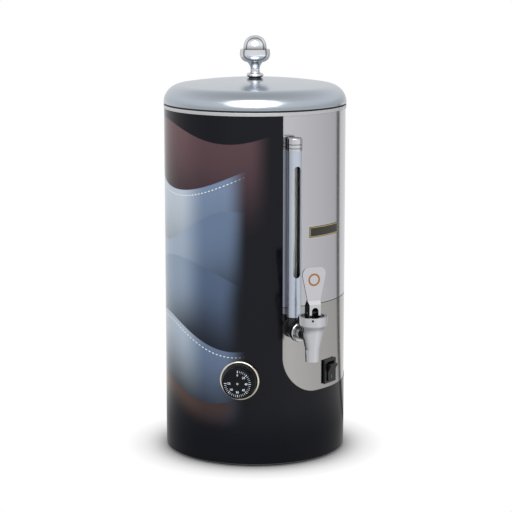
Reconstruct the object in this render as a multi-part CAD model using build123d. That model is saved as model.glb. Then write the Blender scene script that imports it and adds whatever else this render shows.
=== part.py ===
from build123d import *
import math
import os

# Coffee urn with a boiler below and a coffee tank above. Sizes are in millimetres.
# Heights are measured from the casing's bottom edge, distances outwards from the urn's axis,
# and angles round the axis from the tap, which faces -Y, towards +X.

# Clearances
SEAT = 0.05  # between pieces that are fixed to each other
RUNNING = 0.08  # radial, of a shaft in its hole
FREE = 0.3  # between pieces that move past each other
DROP_IN = 1.6  # of pieces that are lifted in and out by hand

# Casing and base
BODY_RADIUS = 110.0  # outside of the printed film
CASING_HEIGHT = 420.0  # to the top of the rolled rim
CASING_SHEET = 0.8
FILM_SHEET = 0.4
FILM_MARGIN = 0.4  # bare strip at the film's edges
SEAM_RISE = 24.1  # joint between the lower and the upper casing, above the tap's axis
SEAM_GAP = 0.8
JOINT_BAND_HEIGHT = 20.0
JOINT_BAND_SHEET = 1.0
BASE_SHEET = 1.2
BASE_INSET = 3.0
BASE_LIP_WIDTH = 27.0  # of the ring that takes the base screws
BASE_SCREW_COUNT = 4
BASE_SCREW_INSET = 22.0  # from the casing's outside
BASE_SCREW_RADIUS = 1.6
BASE_SCREW_HEAD_RADIUS = 3.2
BASE_SCREW_HEAD = 1.2
BASE_SCREW_GRIP = 3.0  # length above the casing's lip
FOOT_HEIGHT = 1.8
FOOT_INSET = 6.0
FOOT_WIDTH = 10.0

# Bare window in the printed film, open at the top
WINDOW_LEFT = -5.3  # degrees
WINDOW_RIGHT = 84.0
WINDOW_DROP = 20.2  # lower edge below the switch's middle
WINDOW_CORNER = 46.0

# Label plate
LABEL_ANGLE = 27.25
LABEL_SPAN = 27.7  # degrees
LABEL_DROP = 143.0  # its middle below the rim
LABEL_TALL = 12.4
LABEL_SHEET = 0.4

# Coffee tank
JACKET_GAP = 4.75  # air between the tank and the casing
TANK_SHEET = 0.8
RIM_BAND = 4.0  # bright rolled rim that laps the casing
RIM_ROUND = 0.6

# Boiler
BOILER_GAP = 36.75  # air between the boiler and the casing
BOILER_SHEET = 1.2
BOILER_FLOOR = 32.0
BOILER_DEPTH = 102.0
BOILER_FLANGE_WIDTH = 10.0
BOILER_GASKET = 1.5
COVER_SHEET = 2.5
COVER_BOLT_COUNT = 6
COVER_BOLT_RADIUS = 2.0
COVER_BOLT_ACROSS = 7.0
COVER_BOLT_HEAD = 3.0
FLOOR_GASKET = 1.5
FLOOR_GASKET_RADIUS = 40.0

# Heater and controls under the boiler
HEATER_INSET = 24.0  # ring inside the boiler's wall
HEATER_TUBE_RADIUS = 4.0
HEATER_RISE = 16.0  # ring above the boiler's floor
HEATER_BEND = 10.0
HEATER_LEG_SPACING = 30.7  # between the two legs, at the back
HEATER_TAIL = 12.0  # legs below the boiler's floor
HEATER_NUT_ACROSS = 14.0
HEATER_NUT = 5.0
THERMOSTAT_RADIUS = 13.0
THERMOSTAT_TALL = 9.0
CUTOUT_RADIUS = 9.0
CUTOUT_TALL = 7.0
CONTROL_REACH = 32.0  # of both controls from the axis
TERMINAL_LENGTH = 40.0
TERMINAL_DEPTH = 18.0
TERMINAL_TALL = 16.0
TERMINAL_INSET = 14.0  # its middle inside the boiler's wall

# Riser, basket and spray head
RISER_RADIUS = 9.0
RISER_WALL = 1.5
RISER_DROP = 35.0  # its top below the rim
RISER_FOOT_GAP = 4.0
RISER_SHOULDER_RADIUS = 13.0
RISER_SHOULDER = 3.5
RISER_NUT_ACROSS = 27.0
RISER_NUT = 7.0
BASKET_GAP = 17.2  # between the basket and the tank
BASKET_SHEET = 0.8
BASKET_DROP = 122.0  # its floor below the rim
BASKET_TALL = 64.0
BASKET_SLEEVE = 32.0  # height of the sleeve round the riser
BASKET_COLLAR_RADIUS = 13.0
BASKET_COLLAR = 4.0
BASKET_HOLE_RADIUS = 1.5
BASKET_HOLE_PITCH = 14.0
BASKET_HOLE_START = 22.0
SPRAY_RADIUS = 26.0
SPRAY_DROP = 7.0
SPRAY_SHEET = 1.2
SPRAY_PLUG = 12.0  # length in the riser
SPRAY_PORT = 6.0  # height of the ports
SPRAY_PLUG_WALL = 1.4

# Lid
LID_OVERHANG = 0.5  # beyond the printed film
LID_SHEET = 1.0
LID_GASKET = 2.0
LID_GASKET_INSET = 1.2
LID_KNUCKLE = 22.0  # radius of the rounded shoulder
LID_CROWN = 600.0  # radius of the flat crown
LID_SKIRT = 12.0
KNOB_TALL = 51.2
KNOB_FLANGE_RADIUS = 8.2
KNOB_FLANGE = 1.0
KNOB_SHAFT_RADIUS = 6.3
KNOB_BEAD_RADIUS = 10.2
KNOB_BEAD_LOW = 1.8
KNOB_BEAD_HIGH = 5.6
KNOB_WAIST_RADIUS = 5.9
KNOB_WAIST_HEIGHT = 13.1
KNOB_NECK_RADIUS = 9.4
KNOB_NECK_HEIGHT = 19.3
KNOB_CUP_RADIUS = 18.3
KNOB_CUP_BULGE_RADIUS = 16.6
KNOB_CUP_BULGE_HEIGHT = 23.5
KNOB_CUP_HEIGHT = 29.1
KNOB_LIP_RADIUS = 17.6
KNOB_LIP_HEIGHT = 34.7
KNOB_ACORN_RADIUS = 14.0
KNOB_ACORN_SHOULDER_RADIUS = 9.6
KNOB_ACORN_SHOULDER_HEIGHT = 47.7
KNOB_SCREW_RADIUS = 3.0
KNOB_SCREW_DEPTH = 14.0
KNOB_SCREW_ACROSS = 11.0
KNOB_SCREW_HEAD = 4.0
KNOB_WASHER_RADIUS = 10.0
KNOB_WASHER = 1.5

# Tap
TAP_RISE = 26.0  # axis of the tap's barrel above the tank's floor
TAP_REACH = 62.0  # from the casing to the spout's axis
TAP_BORE_RADIUS = 4.8
TEE_WALL_RADIUS = 8.4
TEE_FACE_RADIUS = 11.8
TEE_SHOULDER = 3.9  # between the gauge's spigot and the union nut
SHANK_RADIUS = 7.5
SHANK_INSIDE = 13.0  # length inside the tank's wall
WALL_SEAL = 1.5
WALL_SEAL_RADIUS = 11.0
BACK_NUT_ACROSS = 22.0
BACK_NUT = 6.0
TANK_SEAL = 3.0
UNION_WALL = 2.2  # round the thread
UNION_LENGTH = 7.0
UNION_LIP = 2.0
UNION_CHAMFER = 0.8
UNION_GROOVE = 0.9
UNION_GROOVE_DEPTH = 0.6
UNION_GROOVE_STARTS = (1.5, 3.9)  # from the tee's face
UNION_THREAD_RADIUS = 9.0
UNION_THREAD = 3.4
TAIL_RADIUS = 7.0
SPOUT_DROP = 26.5  # below the barrel's axis
SPOUT_RADIUS = 8.0
SPOUT_NECK_RADIUS = 8.4
SPOUT_NECK_DROP = 12.5
SPOUT_BORE_RADIUS = 5.0
CUP_CONE_RADIUS = 12.2
CUP_CONE_RISE = 6.2
CUP_FLARE_RADIUS = 14.7
CUP_FLARE_RISE = 13.4
CUP_SIDE_RADIUS = 16.9
CUP_SIDE_RISE = 19.0
CUP_RIM_RADIUS = 17.1
CUP_RIM_RISE = 27.0
CHAMBER_RADIUS = 7.0
VALVE_SEAT_DROP = 9.0
BONNET_RADIUS = 13.8
BONNET = 6.0
BONNET_SUNK = 2.0  # below the rim
STEM_RADIUS = 2.4
STEM_COLLAR_RADIUS = 5.4
STEM_COLLAR = 1.5
STEM_EYE_RADIUS = 3.4
STEM_IN_SEAL = 3.0
VALVE_SEAL_RADIUS = 6.2
VALVE_SEAL = 5.0
SPRING_COIL_RADIUS = 4.4
SPRING_WIRE_RADIUS = 0.5
SPRING_TURNS = 6

# Tap lever, from the tap's axis outwards and from the bonnet upwards
LEVER_GAP = 0.4  # foot above the bonnet
LEVER_PIN_RISE = 5.0  # above the foot
LEVER_PIN_RADIUS = 1.5
LEVER_PLATE = 1.5
LEVER_FOOT_FRONT = 6.0
LEVER_FOOT_BACK = 7.0
LEVER_STEP = 3.5  # upper plate behind the lower plate
LEVER_CORE_WIDTH = 13.2
LEVER_CORE_SHOULDER = 12.6  # height of the core's back
LEVER_CORE_TALL = 26.1
LEVER_LOW_WIDTH = 14.0
LEVER_BEND_LOW = 15.1
LEVER_BEND_TALL = 4.0
LEVER_TALL = 58.6
LEVER_TOP_WIDTH = 28.5
LEVER_TOP_SIDE = 9.5  # upright part of the sides, at the top
LEVER_TOP_ROUND = 7.5
LEVER_ARCH_WIDTH = 8.2
LEVER_ARCH_TALL = 12.1
LEVER_PLATE_LIFT = 0.5  # plate's lower edge above the foot

# Sight gauge
GAUGE_RISE = 15.5  # guard's lower end above the tap's axis
GUARD_RADIUS = 8.3
GUARD_SHEET = 1.2
GUARD_DROP = 43.5  # guard's upper end below the rim
GUARD_SLOT_WIDTH = 8.6
GUARD_SLOT_RISE = 47.0  # above the guard's lower end
GUARD_SLOT_DROP = 17.5  # below its upper end
GLASS_RADIUS = 5.0
GLASS_WALL = 1.3
GLASS_IN_CAP = 8.0
GLASS_IN_TEE = 6.0
CAP_TALL = 15.3
CAP_PROUD = 0.5
CAP_GROOVE = 1.2
CAP_GROOVE_DEPTH = 0.7
CAP_GROOVE_RISES = (2.6, 7.0)
CAP_ROUND = 1.6
ORING_RADIUS = 0.7
STUD_RADIUS = 2.0
STUD_IN_CAP = 5.0
STUD_INSIDE = 3.2  # length inside the casing
STUD_NUT_ACROSS = 7.0
STUD_NUT = 2.4

# Cable gland at the back
GLAND_HEIGHT = 22.0
GLAND_BORE_RADIUS = 4.0
GLAND_ENTRY_RADIUS = 5.0  # wider inside the wall
GLAND_THREAD_RADIUS = 7.5
GLAND_INSIDE = 10.0
GLAND_ACROSS = 19.0
GLAND_FLANGE = 4.0
GLAND_NECK_RADIUS = 6.0
GLAND_NECK = 8.0
GLAND_CAP_RADIUS = 9.0
GLAND_CAP_LIP = 2.0
GLAND_CAP_ROUND = 2.4
GLAND_NUT = 4.5

# Thermostat and its knob
INSTRUMENT_RISE = 72.5  # middle of the knob and of the switch above the boiler's floor
INSTRUMENT_ANGLE = 31.5  # either side of the tap
CAN_RADIUS = 21.4
CAN_SHEET = 0.8
CAN_DEPTH = 22.0
CAN_PROUD = 1.0  # its front before the film
TRIM_WALL = 2.2  # ring round the can
TRIM_PROUD = 8.0
TRIM_ROUND = 1.6
TRIM_INNER_ROUND = 0.4
DIAL_GAP = 0.4  # knob before the ring
DIAL_TALL = 14.0
DIAL_BASE_RADIUS = 20.9
DIAL_RADIUS = 18.2
DIAL_ROUND = 0.9
DIAL_CAP_RADIUS = 1.4
DIAL_CAP = 1.0
DIAL_CAP_PROUD = 0.2
SHAFT_RADIUS = 3.0
SHAFT_BEHIND = 8.0  # length behind the can's front
SHAFT_IN_KNOB = 9.0
SHAFT_COLLAR_RADIUS = 5.0
SHAFT_COLLAR = 1.5
PROBE_RADIUS = 3.0
PROBE_INSIDE = 26.0  # length inside the boiler
PROBE_NUT_ACROSS = 14.0
PROBE_NUT = 7.0
PROBE_BOSS_RADIUS = 7.0

# Switch
SWITCH_WIDE = 24.0
SWITCH_TALL = 29.0
SWITCH_BEZEL = 2.4
SWITCH_BEZEL_ROUND = 1.0
HOUSING_WIDE = 20.0
HOUSING_TALL = 25.0
HOUSING_DEPTH = 22.0
HOUSING_POCKET = 9.5
ROCKER_WIDE = 14.0
ROCKER_TALL = 20.4
ROCKER_END = 8.0  # front of either end before the pivot
ROCKER_MIDDLE = 5.2
ROCKER_HEEL = 1.8
ROCKER_BACK = 4.0
ROCKER_BACK_TALL = 8.0
ROCKER_TILT = 12.0  # degrees, either side of the middle
ROCKER_GAP = 0.6  # to the bezel's window at the sides
ROCKER_END_GAP = 1.4  # to the window above and below
ROCKER_ROUND = 0.8
TRUNNION_RADIUS = 1.5
TRUNNION_LENGTH = 1.6
TAB_WIDE = 6.3
TAB_THICK = 0.8
TAB_LENGTH = 8.0
TAB_PITCH = 10.0

# Places that follow from the sizes
CASING_BOTTOM = FOOT_HEIGHT + BASE_SHEET
CASING_RADIUS = BODY_RADIUS - FILM_SHEET - SEAT
CASING_INNER = CASING_RADIUS - CASING_SHEET
BASE_SCREW_CIRCLE = CASING_RADIUS - BASE_SCREW_INSET
BOILER_RADIUS = CASING_INNER - BOILER_GAP
BOILER_TOP = BOILER_FLOOR + BOILER_DEPTH
BOILER_FLANGE_RADIUS = BOILER_RADIUS + BOILER_FLANGE_WIDTH
COVER_BOLT_CIRCLE = BOILER_RADIUS + BOILER_FLANGE_WIDTH / 2
COVER_LOW = BOILER_TOP + BOILER_GASKET
COVER_HIGH = COVER_LOW + COVER_SHEET
TANK_FLOOR = COVER_HIGH + FLOOR_GASKET
TANK_RADIUS = CASING_INNER - JACKET_GAP
TANK_INNER = TANK_RADIUS - TANK_SHEET
INSTRUMENT_HEIGHT = BOILER_FLOOR + INSTRUMENT_RISE
WINDOW_BOTTOM = INSTRUMENT_HEIGHT - WINDOW_DROP
LABEL_HEIGHT = CASING_HEIGHT - LABEL_DROP
RISER_HOLE = RISER_RADIUS + SEAT
RISER_TOP = CASING_HEIGHT - RISER_DROP
BASKET_RADIUS = TANK_INNER - BASKET_GAP
BASKET_FLOOR = CASING_HEIGHT - BASKET_DROP
HEATER_LEVEL = BOILER_FLOOR + BOILER_SHEET + HEATER_RISE
HEATER_RING_RADIUS = BOILER_RADIUS - HEATER_INSET
TERMINAL_REACH = BOILER_RADIUS - TERMINAL_INSET
LID_RADIUS = BODY_RADIUS + LID_OVERHANG
LID_LOW = CASING_HEIGHT + LID_GASKET
SKIRT_RADIUS = TANK_INNER - DROP_IN
TAP_HEIGHT = TANK_FLOOR + TAP_RISE
SEAM_HEIGHT = TAP_HEIGHT + SEAM_RISE
TAP_AXIS = BODY_RADIUS + TAP_REACH
TEE_BACK = BODY_RADIUS + WALL_SEAL
GAUGE_AXIS = TEE_BACK + GUARD_RADIUS + SEAT
TEE_FACE = GAUGE_AXIS + GUARD_RADIUS + TEE_SHOULDER
UNION_FACE = TEE_FACE + UNION_LENGTH
CUP_RIM = TAP_HEIGHT + CUP_RIM_RISE
BONNET_TOP = CUP_RIM - BONNET_SUNK
BONNET_LOW = BONNET_TOP - BONNET
VALVE_SEAT = TAP_HEIGHT - VALVE_SEAT_DROP
SEAL_TOP = VALVE_SEAT + SEAT + VALVE_SEAL
COLLAR_TOP = SEAL_TOP + STEM_COLLAR
LEVER_FOOT = BONNET_TOP + LEVER_GAP
LEVER_PIN = LEVER_FOOT + LEVER_PIN_RISE
GAUGE_BOTTOM = TAP_HEIGHT + GAUGE_RISE
GUARD_TOP = CASING_HEIGHT - GUARD_DROP
GUARD_SLOT_LOW = GAUGE_BOTTOM + GUARD_SLOT_RISE
GUARD_SLOT_HIGH = GUARD_TOP - GUARD_SLOT_DROP
STUD_HEIGHT = GUARD_TOP + (GLASS_IN_CAP + CAP_TALL - CAP_ROUND) / 2
STUD_END = BODY_RADIUS + FREE + STUD_IN_CAP
SOCKET_RADIUS = GLASS_RADIUS + 2 * ORING_RADIUS + SEAT
CAN_FRONT = BODY_RADIUS + CAN_PROUD
CAN_BACK = CAN_FRONT - CAN_DEPTH
TRIM_FRONT = BODY_RADIUS + TRIM_PROUD
DIAL_BACK = TRIM_FRONT + DIAL_GAP
DIAL_FACE = DIAL_BACK + DIAL_TALL
SWITCH_BACK = BODY_RADIUS + SEAT
ROCKER_PIVOT = SWITCH_BACK - TRUNNION_RADIUS - SEAT


def radial(angle, height=0.0):
    # Plane through the urn's axis whose x runs round the urn, y up and z outwards
    turn = math.radians(angle)
    sideways = (math.cos(turn), math.sin(turn), 0)
    outwards = (math.sin(turn), -math.cos(turn), 0)
    return Plane(origin=(0, 0, height), x_dir=sideways, z_dir=outwards)


def rod(radius, low, high):
    return Pos(0, 0, low) * extrude(Circle(radius), high - low)


def ring(outer, inner, low, high):
    return Pos(0, 0, low) * extrude(Circle(outer) - Circle(inner), high - low)


def cross_rod(radius, half):
    return Rot(0, 90, 0) * rod(radius, -half, half)


def hexagon(across, low, high):
    return Pos(0, 0, low) * extrude(RegularPolygon(across / 2, 6, major_radius=False), high - low)


def nut(across, bore, low, high):
    return hexagon(across, low, high) - rod(bore, low, high)


def block(wide, tall, low, high):
    return Pos(0, 0, low) * extrude(Rectangle(wide, tall), high - low)


def spun(*edges):
    return revolve(Plane.XZ * make_face(edges), Axis.Z)


def spun_corners(*corners):
    return spun(*Polyline(*corners, close=True).edges())


def round_about(solid, radius, count, first=0.0):
    return Part() + [place * solid for place in PolarLocations(radius, count, first)]


def wall_hole(angle, height, radius):
    return radial(angle, height) * rod(radius, BODY_RADIUS / 2, TRIM_FRONT)


def inner_seat(across):
    # Distance at which a nut's corners meet the inside of the casing
    corner = across / math.sqrt(3)
    return math.sqrt(CASING_INNER ** 2 - corner ** 2) - SEAT


def control_spot():
    return radial(-INSTRUMENT_ANGLE, INSTRUMENT_HEIGHT)


def switch_spot():
    return radial(INSTRUMENT_ANGLE, INSTRUMENT_HEIGHT)


def tap_spot():
    return radial(0, TAP_HEIGHT)


def stud_spot():
    return radial(0, STUD_HEIGHT)


def gland_spot():
    return radial(180, GLAND_HEIGHT)


# Casing and base

def lower_casing():
    casing = ring(CASING_RADIUS, CASING_INNER, 0, SEAM_HEIGHT)
    switch_hole = block(HOUSING_WIDE + 2 * FREE, HOUSING_TALL + 2 * FREE, BODY_RADIUS / 2, BODY_RADIUS)
    casing -= wall_hole(-INSTRUMENT_ANGLE, INSTRUMENT_HEIGHT, CAN_RADIUS + FREE)
    casing -= switch_spot() * switch_hole
    casing -= wall_hole(0, TAP_HEIGHT, SHANK_RADIUS + FREE)
    casing -= wall_hole(180, GLAND_HEIGHT, GLAND_THREAD_RADIUS + FREE)
    return casing


def base_lip():
    outer = CASING_INNER - SEAT
    lip = ring(outer, outer - BASE_LIP_WIDTH, 0, CASING_SHEET)
    screw_hole = rod(BASE_SCREW_RADIUS + SEAT, 0, CASING_SHEET)
    return lip - round_about(screw_hole, BASE_SCREW_CIRCLE, BASE_SCREW_COUNT)


def upper_casing():
    wall = ring(CASING_RADIUS, CASING_INNER, SEAM_HEIGHT + SEAM_GAP, CASING_HEIGHT - TANK_SHEET)
    return wall - wall_hole(0, STUD_HEIGHT, STUD_RADIUS + FREE)


def joint_band():
    outer = CASING_INNER - SEAT
    middle = SEAM_HEIGHT + SEAM_GAP / 2
    half = JOINT_BAND_HEIGHT / 2
    return ring(outer, outer - JOINT_BAND_SHEET, middle - half, middle + half)


def window_corner(angle, side, top):
    # Rounded corner of the bare window, drawn flat on the wall at the corner's centre
    reach = BODY_RADIUS * math.sin(WINDOW_CORNER / BODY_RADIUS)
    centre = WINDOW_BOTTOM + WINDOW_CORNER
    upright = Pos(side * reach / 2, (centre + top) / 2) * Rectangle(reach, top - centre)
    outline = Pos(0, centre) * Ellipse(reach, WINDOW_CORNER) + upright
    return radial(angle) * Pos(0, 0, BODY_RADIUS / 2) * extrude(outline, BODY_RADIUS)


def printed_film():
    top = CASING_HEIGHT - RIM_BAND - FILM_MARGIN
    film = ring(BODY_RADIUS, BODY_RADIUS - FILM_SHEET, FILM_MARGIN, top)
    corner = math.degrees(WINDOW_CORNER / BODY_RADIUS)
    first = WINDOW_LEFT + corner
    last = WINDOW_RIGHT - corner
    middle = Pos(BODY_RADIUS, (WINDOW_BOTTOM + top) / 2) * Rectangle(BODY_RADIUS, top - WINDOW_BOTTOM)
    sector = revolve(Plane.XZ * middle, Axis.Z, last - first)
    film -= Rot(0, 0, first - 90) * sector
    film -= window_corner(first, -1, top)
    film -= window_corner(last, 1, top)
    film -= wall_hole(-INSTRUMENT_ANGLE, INSTRUMENT_HEIGHT, CAN_RADIUS + FREE)
    film -= wall_hole(180, GLAND_HEIGHT, GLAND_THREAD_RADIUS + FREE)
    return film


def label_plate():
    inner = CASING_RADIUS + SEAT
    section = Pos(inner + LABEL_SHEET / 2, LABEL_HEIGHT) * Rectangle(LABEL_SHEET, LABEL_TALL)
    plate = revolve(Plane.XZ * section, Axis.Z, LABEL_SPAN)
    return Rot(0, 0, LABEL_ANGLE - LABEL_SPAN / 2 - 90) * plate


def base_plate():
    plate = rod(CASING_RADIUS - BASE_INSET, -BASE_SHEET, 0)
    screw_hole = rod(BASE_SCREW_RADIUS + SEAT, -BASE_SHEET, 0)
    return plate - round_about(screw_hole, BASE_SCREW_CIRCLE, BASE_SCREW_COUNT)


def base_screws():
    head = rod(BASE_SCREW_HEAD_RADIUS, -BASE_SHEET - BASE_SCREW_HEAD, -BASE_SHEET)
    shank = rod(BASE_SCREW_RADIUS, -BASE_SHEET, CASING_SHEET + BASE_SCREW_GRIP)
    return round_about(head + shank, BASE_SCREW_CIRCLE, BASE_SCREW_COUNT)


def foot_ring():
    outer = CASING_RADIUS - FOOT_INSET
    return ring(outer, outer - FOOT_WIDTH, -CASING_BOTTOM, -BASE_SHEET)


# Coffee tank and boiler

def coffee_tank():
    lip_inner = CASING_RADIUS + SEAT
    lip_outer = lip_inner + TANK_SHEET
    under = CASING_HEIGHT - TANK_SHEET
    lip_low = CASING_HEIGHT - RIM_BAND
    outline = Polyline(
        (RISER_HOLE, TANK_FLOOR),
        (TANK_RADIUS, TANK_FLOOR),
        (TANK_RADIUS, under),
        (lip_inner, under),
        (lip_inner, lip_low),
        (lip_outer, lip_low),
        (lip_outer, CASING_HEIGHT),
        (TANK_INNER, CASING_HEIGHT),
        (TANK_INNER, TANK_FLOOR + TANK_SHEET),
        (RISER_HOLE, TANK_FLOOR + TANK_SHEET),
        close=True,
    )
    section = Sketch() + make_face(outline)
    rim_corner = section.vertices().sort_by(lambda corner: corner.X + corner.Y)[-1]
    section = fillet(rim_corner, RIM_ROUND)
    tank = revolve(Plane.XZ * section, Axis.Z)
    return tank - radial(0, TAP_HEIGHT) * rod(SHANK_RADIUS + FREE, TANK_RADIUS / 2, TANK_RADIUS)


def cover_bolt_holes():
    hole = rod(COVER_BOLT_RADIUS + SEAT, BOILER_FLOOR, TANK_FLOOR)
    return round_about(hole, COVER_BOLT_CIRCLE, COVER_BOLT_COUNT)


def boiler_vessel():
    inner = BOILER_RADIUS - BOILER_SHEET
    vessel = spun_corners(
        (0, BOILER_FLOOR),
        (BOILER_RADIUS, BOILER_FLOOR),
        (BOILER_RADIUS, BOILER_TOP - BOILER_SHEET),
        (BOILER_FLANGE_RADIUS, BOILER_TOP - BOILER_SHEET),
        (BOILER_FLANGE_RADIUS, BOILER_TOP),
        (inner, BOILER_TOP),
        (inner, BOILER_FLOOR + BOILER_SHEET),
        (0, BOILER_FLOOR + BOILER_SHEET),
    )
    vessel -= cover_bolt_holes()
    vessel -= control_spot() * rod(PROBE_RADIUS + FREE, BOILER_RADIUS / 2, BOILER_RADIUS)
    leg_hole = rod(HEATER_TUBE_RADIUS + SEAT, BOILER_FLOOR, BOILER_FLOOR + BOILER_SHEET)
    return vessel - [Pos(leg) * leg_hole for leg in heater_legs()]


def boiler_gasket():
    gasket = ring(BOILER_FLANGE_RADIUS, BOILER_RADIUS - BOILER_SHEET, BOILER_TOP, COVER_LOW)
    return gasket - cover_bolt_holes()


def boiler_cover():
    cover = ring(BOILER_FLANGE_RADIUS, RISER_HOLE, COVER_LOW, COVER_HIGH)
    return cover - cover_bolt_holes()


def floor_gasket():
    return ring(FLOOR_GASKET_RADIUS, RISER_HOLE, COVER_HIGH, TANK_FLOOR)


def cover_bolts():
    flange_under = BOILER_TOP - BOILER_SHEET
    head = hexagon(COVER_BOLT_ACROSS, flange_under - COVER_BOLT_HEAD, flange_under)
    shank = rod(COVER_BOLT_RADIUS, flange_under - COVER_BOLT_HEAD, COVER_HIGH)
    return round_about(head + shank, COVER_BOLT_CIRCLE, COVER_BOLT_COUNT)


def heater_half_gap():
    # Half of the gap in the ring, in degrees, that leaves the two legs at their spacing
    reach = math.hypot(HEATER_RING_RADIUS, HEATER_BEND)
    lean = math.atan2(HEATER_BEND, HEATER_RING_RADIUS)
    return math.degrees(lean + math.asin(HEATER_LEG_SPACING / 2 / reach))


def heater_ends():
    # For either end of the ring: its place, and the way that the tube leaves it
    ends = []
    for side in (1, -1):
        turn = math.radians(90 + side * heater_half_gap())
        place = Vector(math.cos(turn), math.sin(turn), 0) * HEATER_RING_RADIUS
        leave = Vector(math.sin(turn), -math.cos(turn), 0) * side
        ends.append((place, leave))
    return ends


def heater_legs():
    return [place + leave * HEATER_BEND for place, leave in heater_ends()]


def heating_element():
    up = Vector(0, 0, 1)
    low = BOILER_FLOOR - HEATER_TAIL
    bends = []
    legs = []
    for place, leave in heater_ends():
        centre = place + up * (HEATER_LEVEL - HEATER_BEND)
        outside = centre + leave * HEATER_BEND
        middle = centre + (leave + up) * (HEATER_BEND * math.sqrt(0.5))
        bends.append(ThreePointArc(outside, middle, centre + up * HEATER_BEND))
        legs.append(Line((outside.X, outside.Y, low), outside))
    half_gap = heater_half_gap()
    loop = CenterArc((0, 0, HEATER_LEVEL), HEATER_RING_RADIUS, 90 + half_gap, 360 - 2 * half_gap)
    path = Wire([legs[0], bends[0], loop, bends[1], legs[1]])
    start = legs[0] @ 0
    return sweep(Plane(origin=start, z_dir=(0, 0, 1)) * Circle(HEATER_TUBE_RADIUS), path)


def heater_nuts():
    one = nut(HEATER_NUT_ACROSS, HEATER_TUBE_RADIUS + SEAT, BOILER_FLOOR - HEATER_NUT, BOILER_FLOOR)
    return Part() + [Pos(leg) * one for leg in heater_legs()]


def thermostat():
    return Pos(CONTROL_REACH, 0) * rod(THERMOSTAT_RADIUS, BOILER_FLOOR - THERMOSTAT_TALL, BOILER_FLOOR)


def thermal_cutout():
    return Pos(-CONTROL_REACH, 0) * rod(CUTOUT_RADIUS, BOILER_FLOOR - CUTOUT_TALL, BOILER_FLOOR)


def terminal_block():
    return Pos(0, TERMINAL_REACH) * block(TERMINAL_LENGTH, TERMINAL_DEPTH, 0, TERMINAL_TALL)


# Riser, basket and spray head

def riser_tube():
    foot = BOILER_FLOOR + BOILER_SHEET + RISER_FOOT_GAP
    bore = RISER_RADIUS - RISER_WALL
    tube = ring(RISER_RADIUS, bore, foot, RISER_TOP)
    return tube + ring(RISER_SHOULDER_RADIUS, bore, COVER_LOW - RISER_SHOULDER, COVER_LOW)


def riser_nut():
    low = TANK_FLOOR + TANK_SHEET
    return nut(RISER_NUT_ACROSS, RISER_HOLE, low, low + RISER_NUT)


def basket_collar():
    return ring(BASKET_COLLAR_RADIUS, RISER_HOLE, BASKET_FLOOR - BASKET_COLLAR, BASKET_FLOOR)


def filter_basket():
    bore = RISER_RADIUS + FREE
    floor = Circle(BASKET_RADIUS) - Circle(bore)
    holes = []
    rows = int((BASKET_RADIUS - BASKET_HOLE_START) / BASKET_HOLE_PITCH)
    for row in range(rows):
        radius = BASKET_HOLE_START + row * BASKET_HOLE_PITCH
        count = int(2 * math.pi * radius / BASKET_HOLE_PITCH)
        holes += [place * Circle(BASKET_HOLE_RADIUS) for place in PolarLocations(radius, count)]
    basket = Pos(0, 0, BASKET_FLOOR) * extrude(floor - holes, BASKET_SHEET)
    basket += ring(BASKET_RADIUS, BASKET_RADIUS - BASKET_SHEET, BASKET_FLOOR, BASKET_FLOOR + BASKET_TALL)
    basket += ring(bore + BASKET_SHEET, bore, BASKET_FLOOR, BASKET_FLOOR + BASKET_SLEEVE)
    return basket


def spray_head():
    plug_radius = RISER_RADIUS - RISER_WALL - SEAT
    ports_top = RISER_TOP + SPRAY_PORT
    plug = ring(plug_radius, plug_radius - SPRAY_PLUG_WALL, RISER_TOP - SPRAY_PLUG, ports_top)
    port = block(plug_radius, 2 * RISER_RADIUS, RISER_TOP, ports_top)
    plug -= [port, Rot(0, 0, 90) * port]
    umbrella = spun_corners(
        (0, ports_top),
        (plug_radius, ports_top),
        (SPRAY_RADIUS, ports_top - SPRAY_DROP),
        (SPRAY_RADIUS, ports_top - SPRAY_DROP + SPRAY_SHEET),
        (plug_radius, ports_top + SPRAY_SHEET),
        (0, ports_top + SPRAY_SHEET),
    )
    return plug + umbrella


# Lid

def lid_lean():
    # Slope at which the shoulder meets the crown
    return math.asin((LID_RADIUS - LID_KNUCKLE) / (LID_CROWN - LID_KNUCKLE))


def lid_crown_centre():
    return LID_LOW - (LID_CROWN - LID_KNUCKLE) * math.cos(lid_lean())


def lid_top():
    return lid_crown_centre() + LID_CROWN


def dome_curves(inset, start):
    hole = KNOB_SCREW_RADIUS + FREE
    meet = 90 - math.degrees(lid_lean())
    hole_angle = 90 - math.degrees(math.asin(hole / (LID_CROWN - inset)))
    shoulder_centre = (LID_RADIUS - LID_KNUCKLE, LID_LOW)
    shoulder = CenterArc(shoulder_centre, LID_KNUCKLE - inset, start, meet - start)
    crown = CenterArc((0, lid_crown_centre()), LID_CROWN - inset, meet, hole_angle - meet)
    return shoulder, crown


def lid_dome():
    skirt_low = LID_LOW - LID_SKIRT
    flange_top = LID_LOW + LID_SHEET
    inner_start = math.degrees(math.asin(LID_SHEET / (LID_KNUCKLE - LID_SHEET)))
    shoulder, crown = dome_curves(0, 0)
    inner_shoulder, inner_crown = dome_curves(LID_SHEET, inner_start)
    hole_edge = Line(crown @ 1, inner_crown @ 1)
    underside = Polyline(
        inner_shoulder @ 0,
        (SKIRT_RADIUS - LID_SHEET, flange_top),
        (SKIRT_RADIUS - LID_SHEET, skirt_low),
        (SKIRT_RADIUS, skirt_low),
        (SKIRT_RADIUS, LID_LOW),
        shoulder @ 0,
    )
    return spun(shoulder, crown, hole_edge, inner_crown, inner_shoulder, *underside.edges())


def lid_gasket():
    return ring(LID_RADIUS - LID_GASKET_INSET, SKIRT_RADIUS + SEAT, CASING_HEIGHT, LID_LOW)


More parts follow.
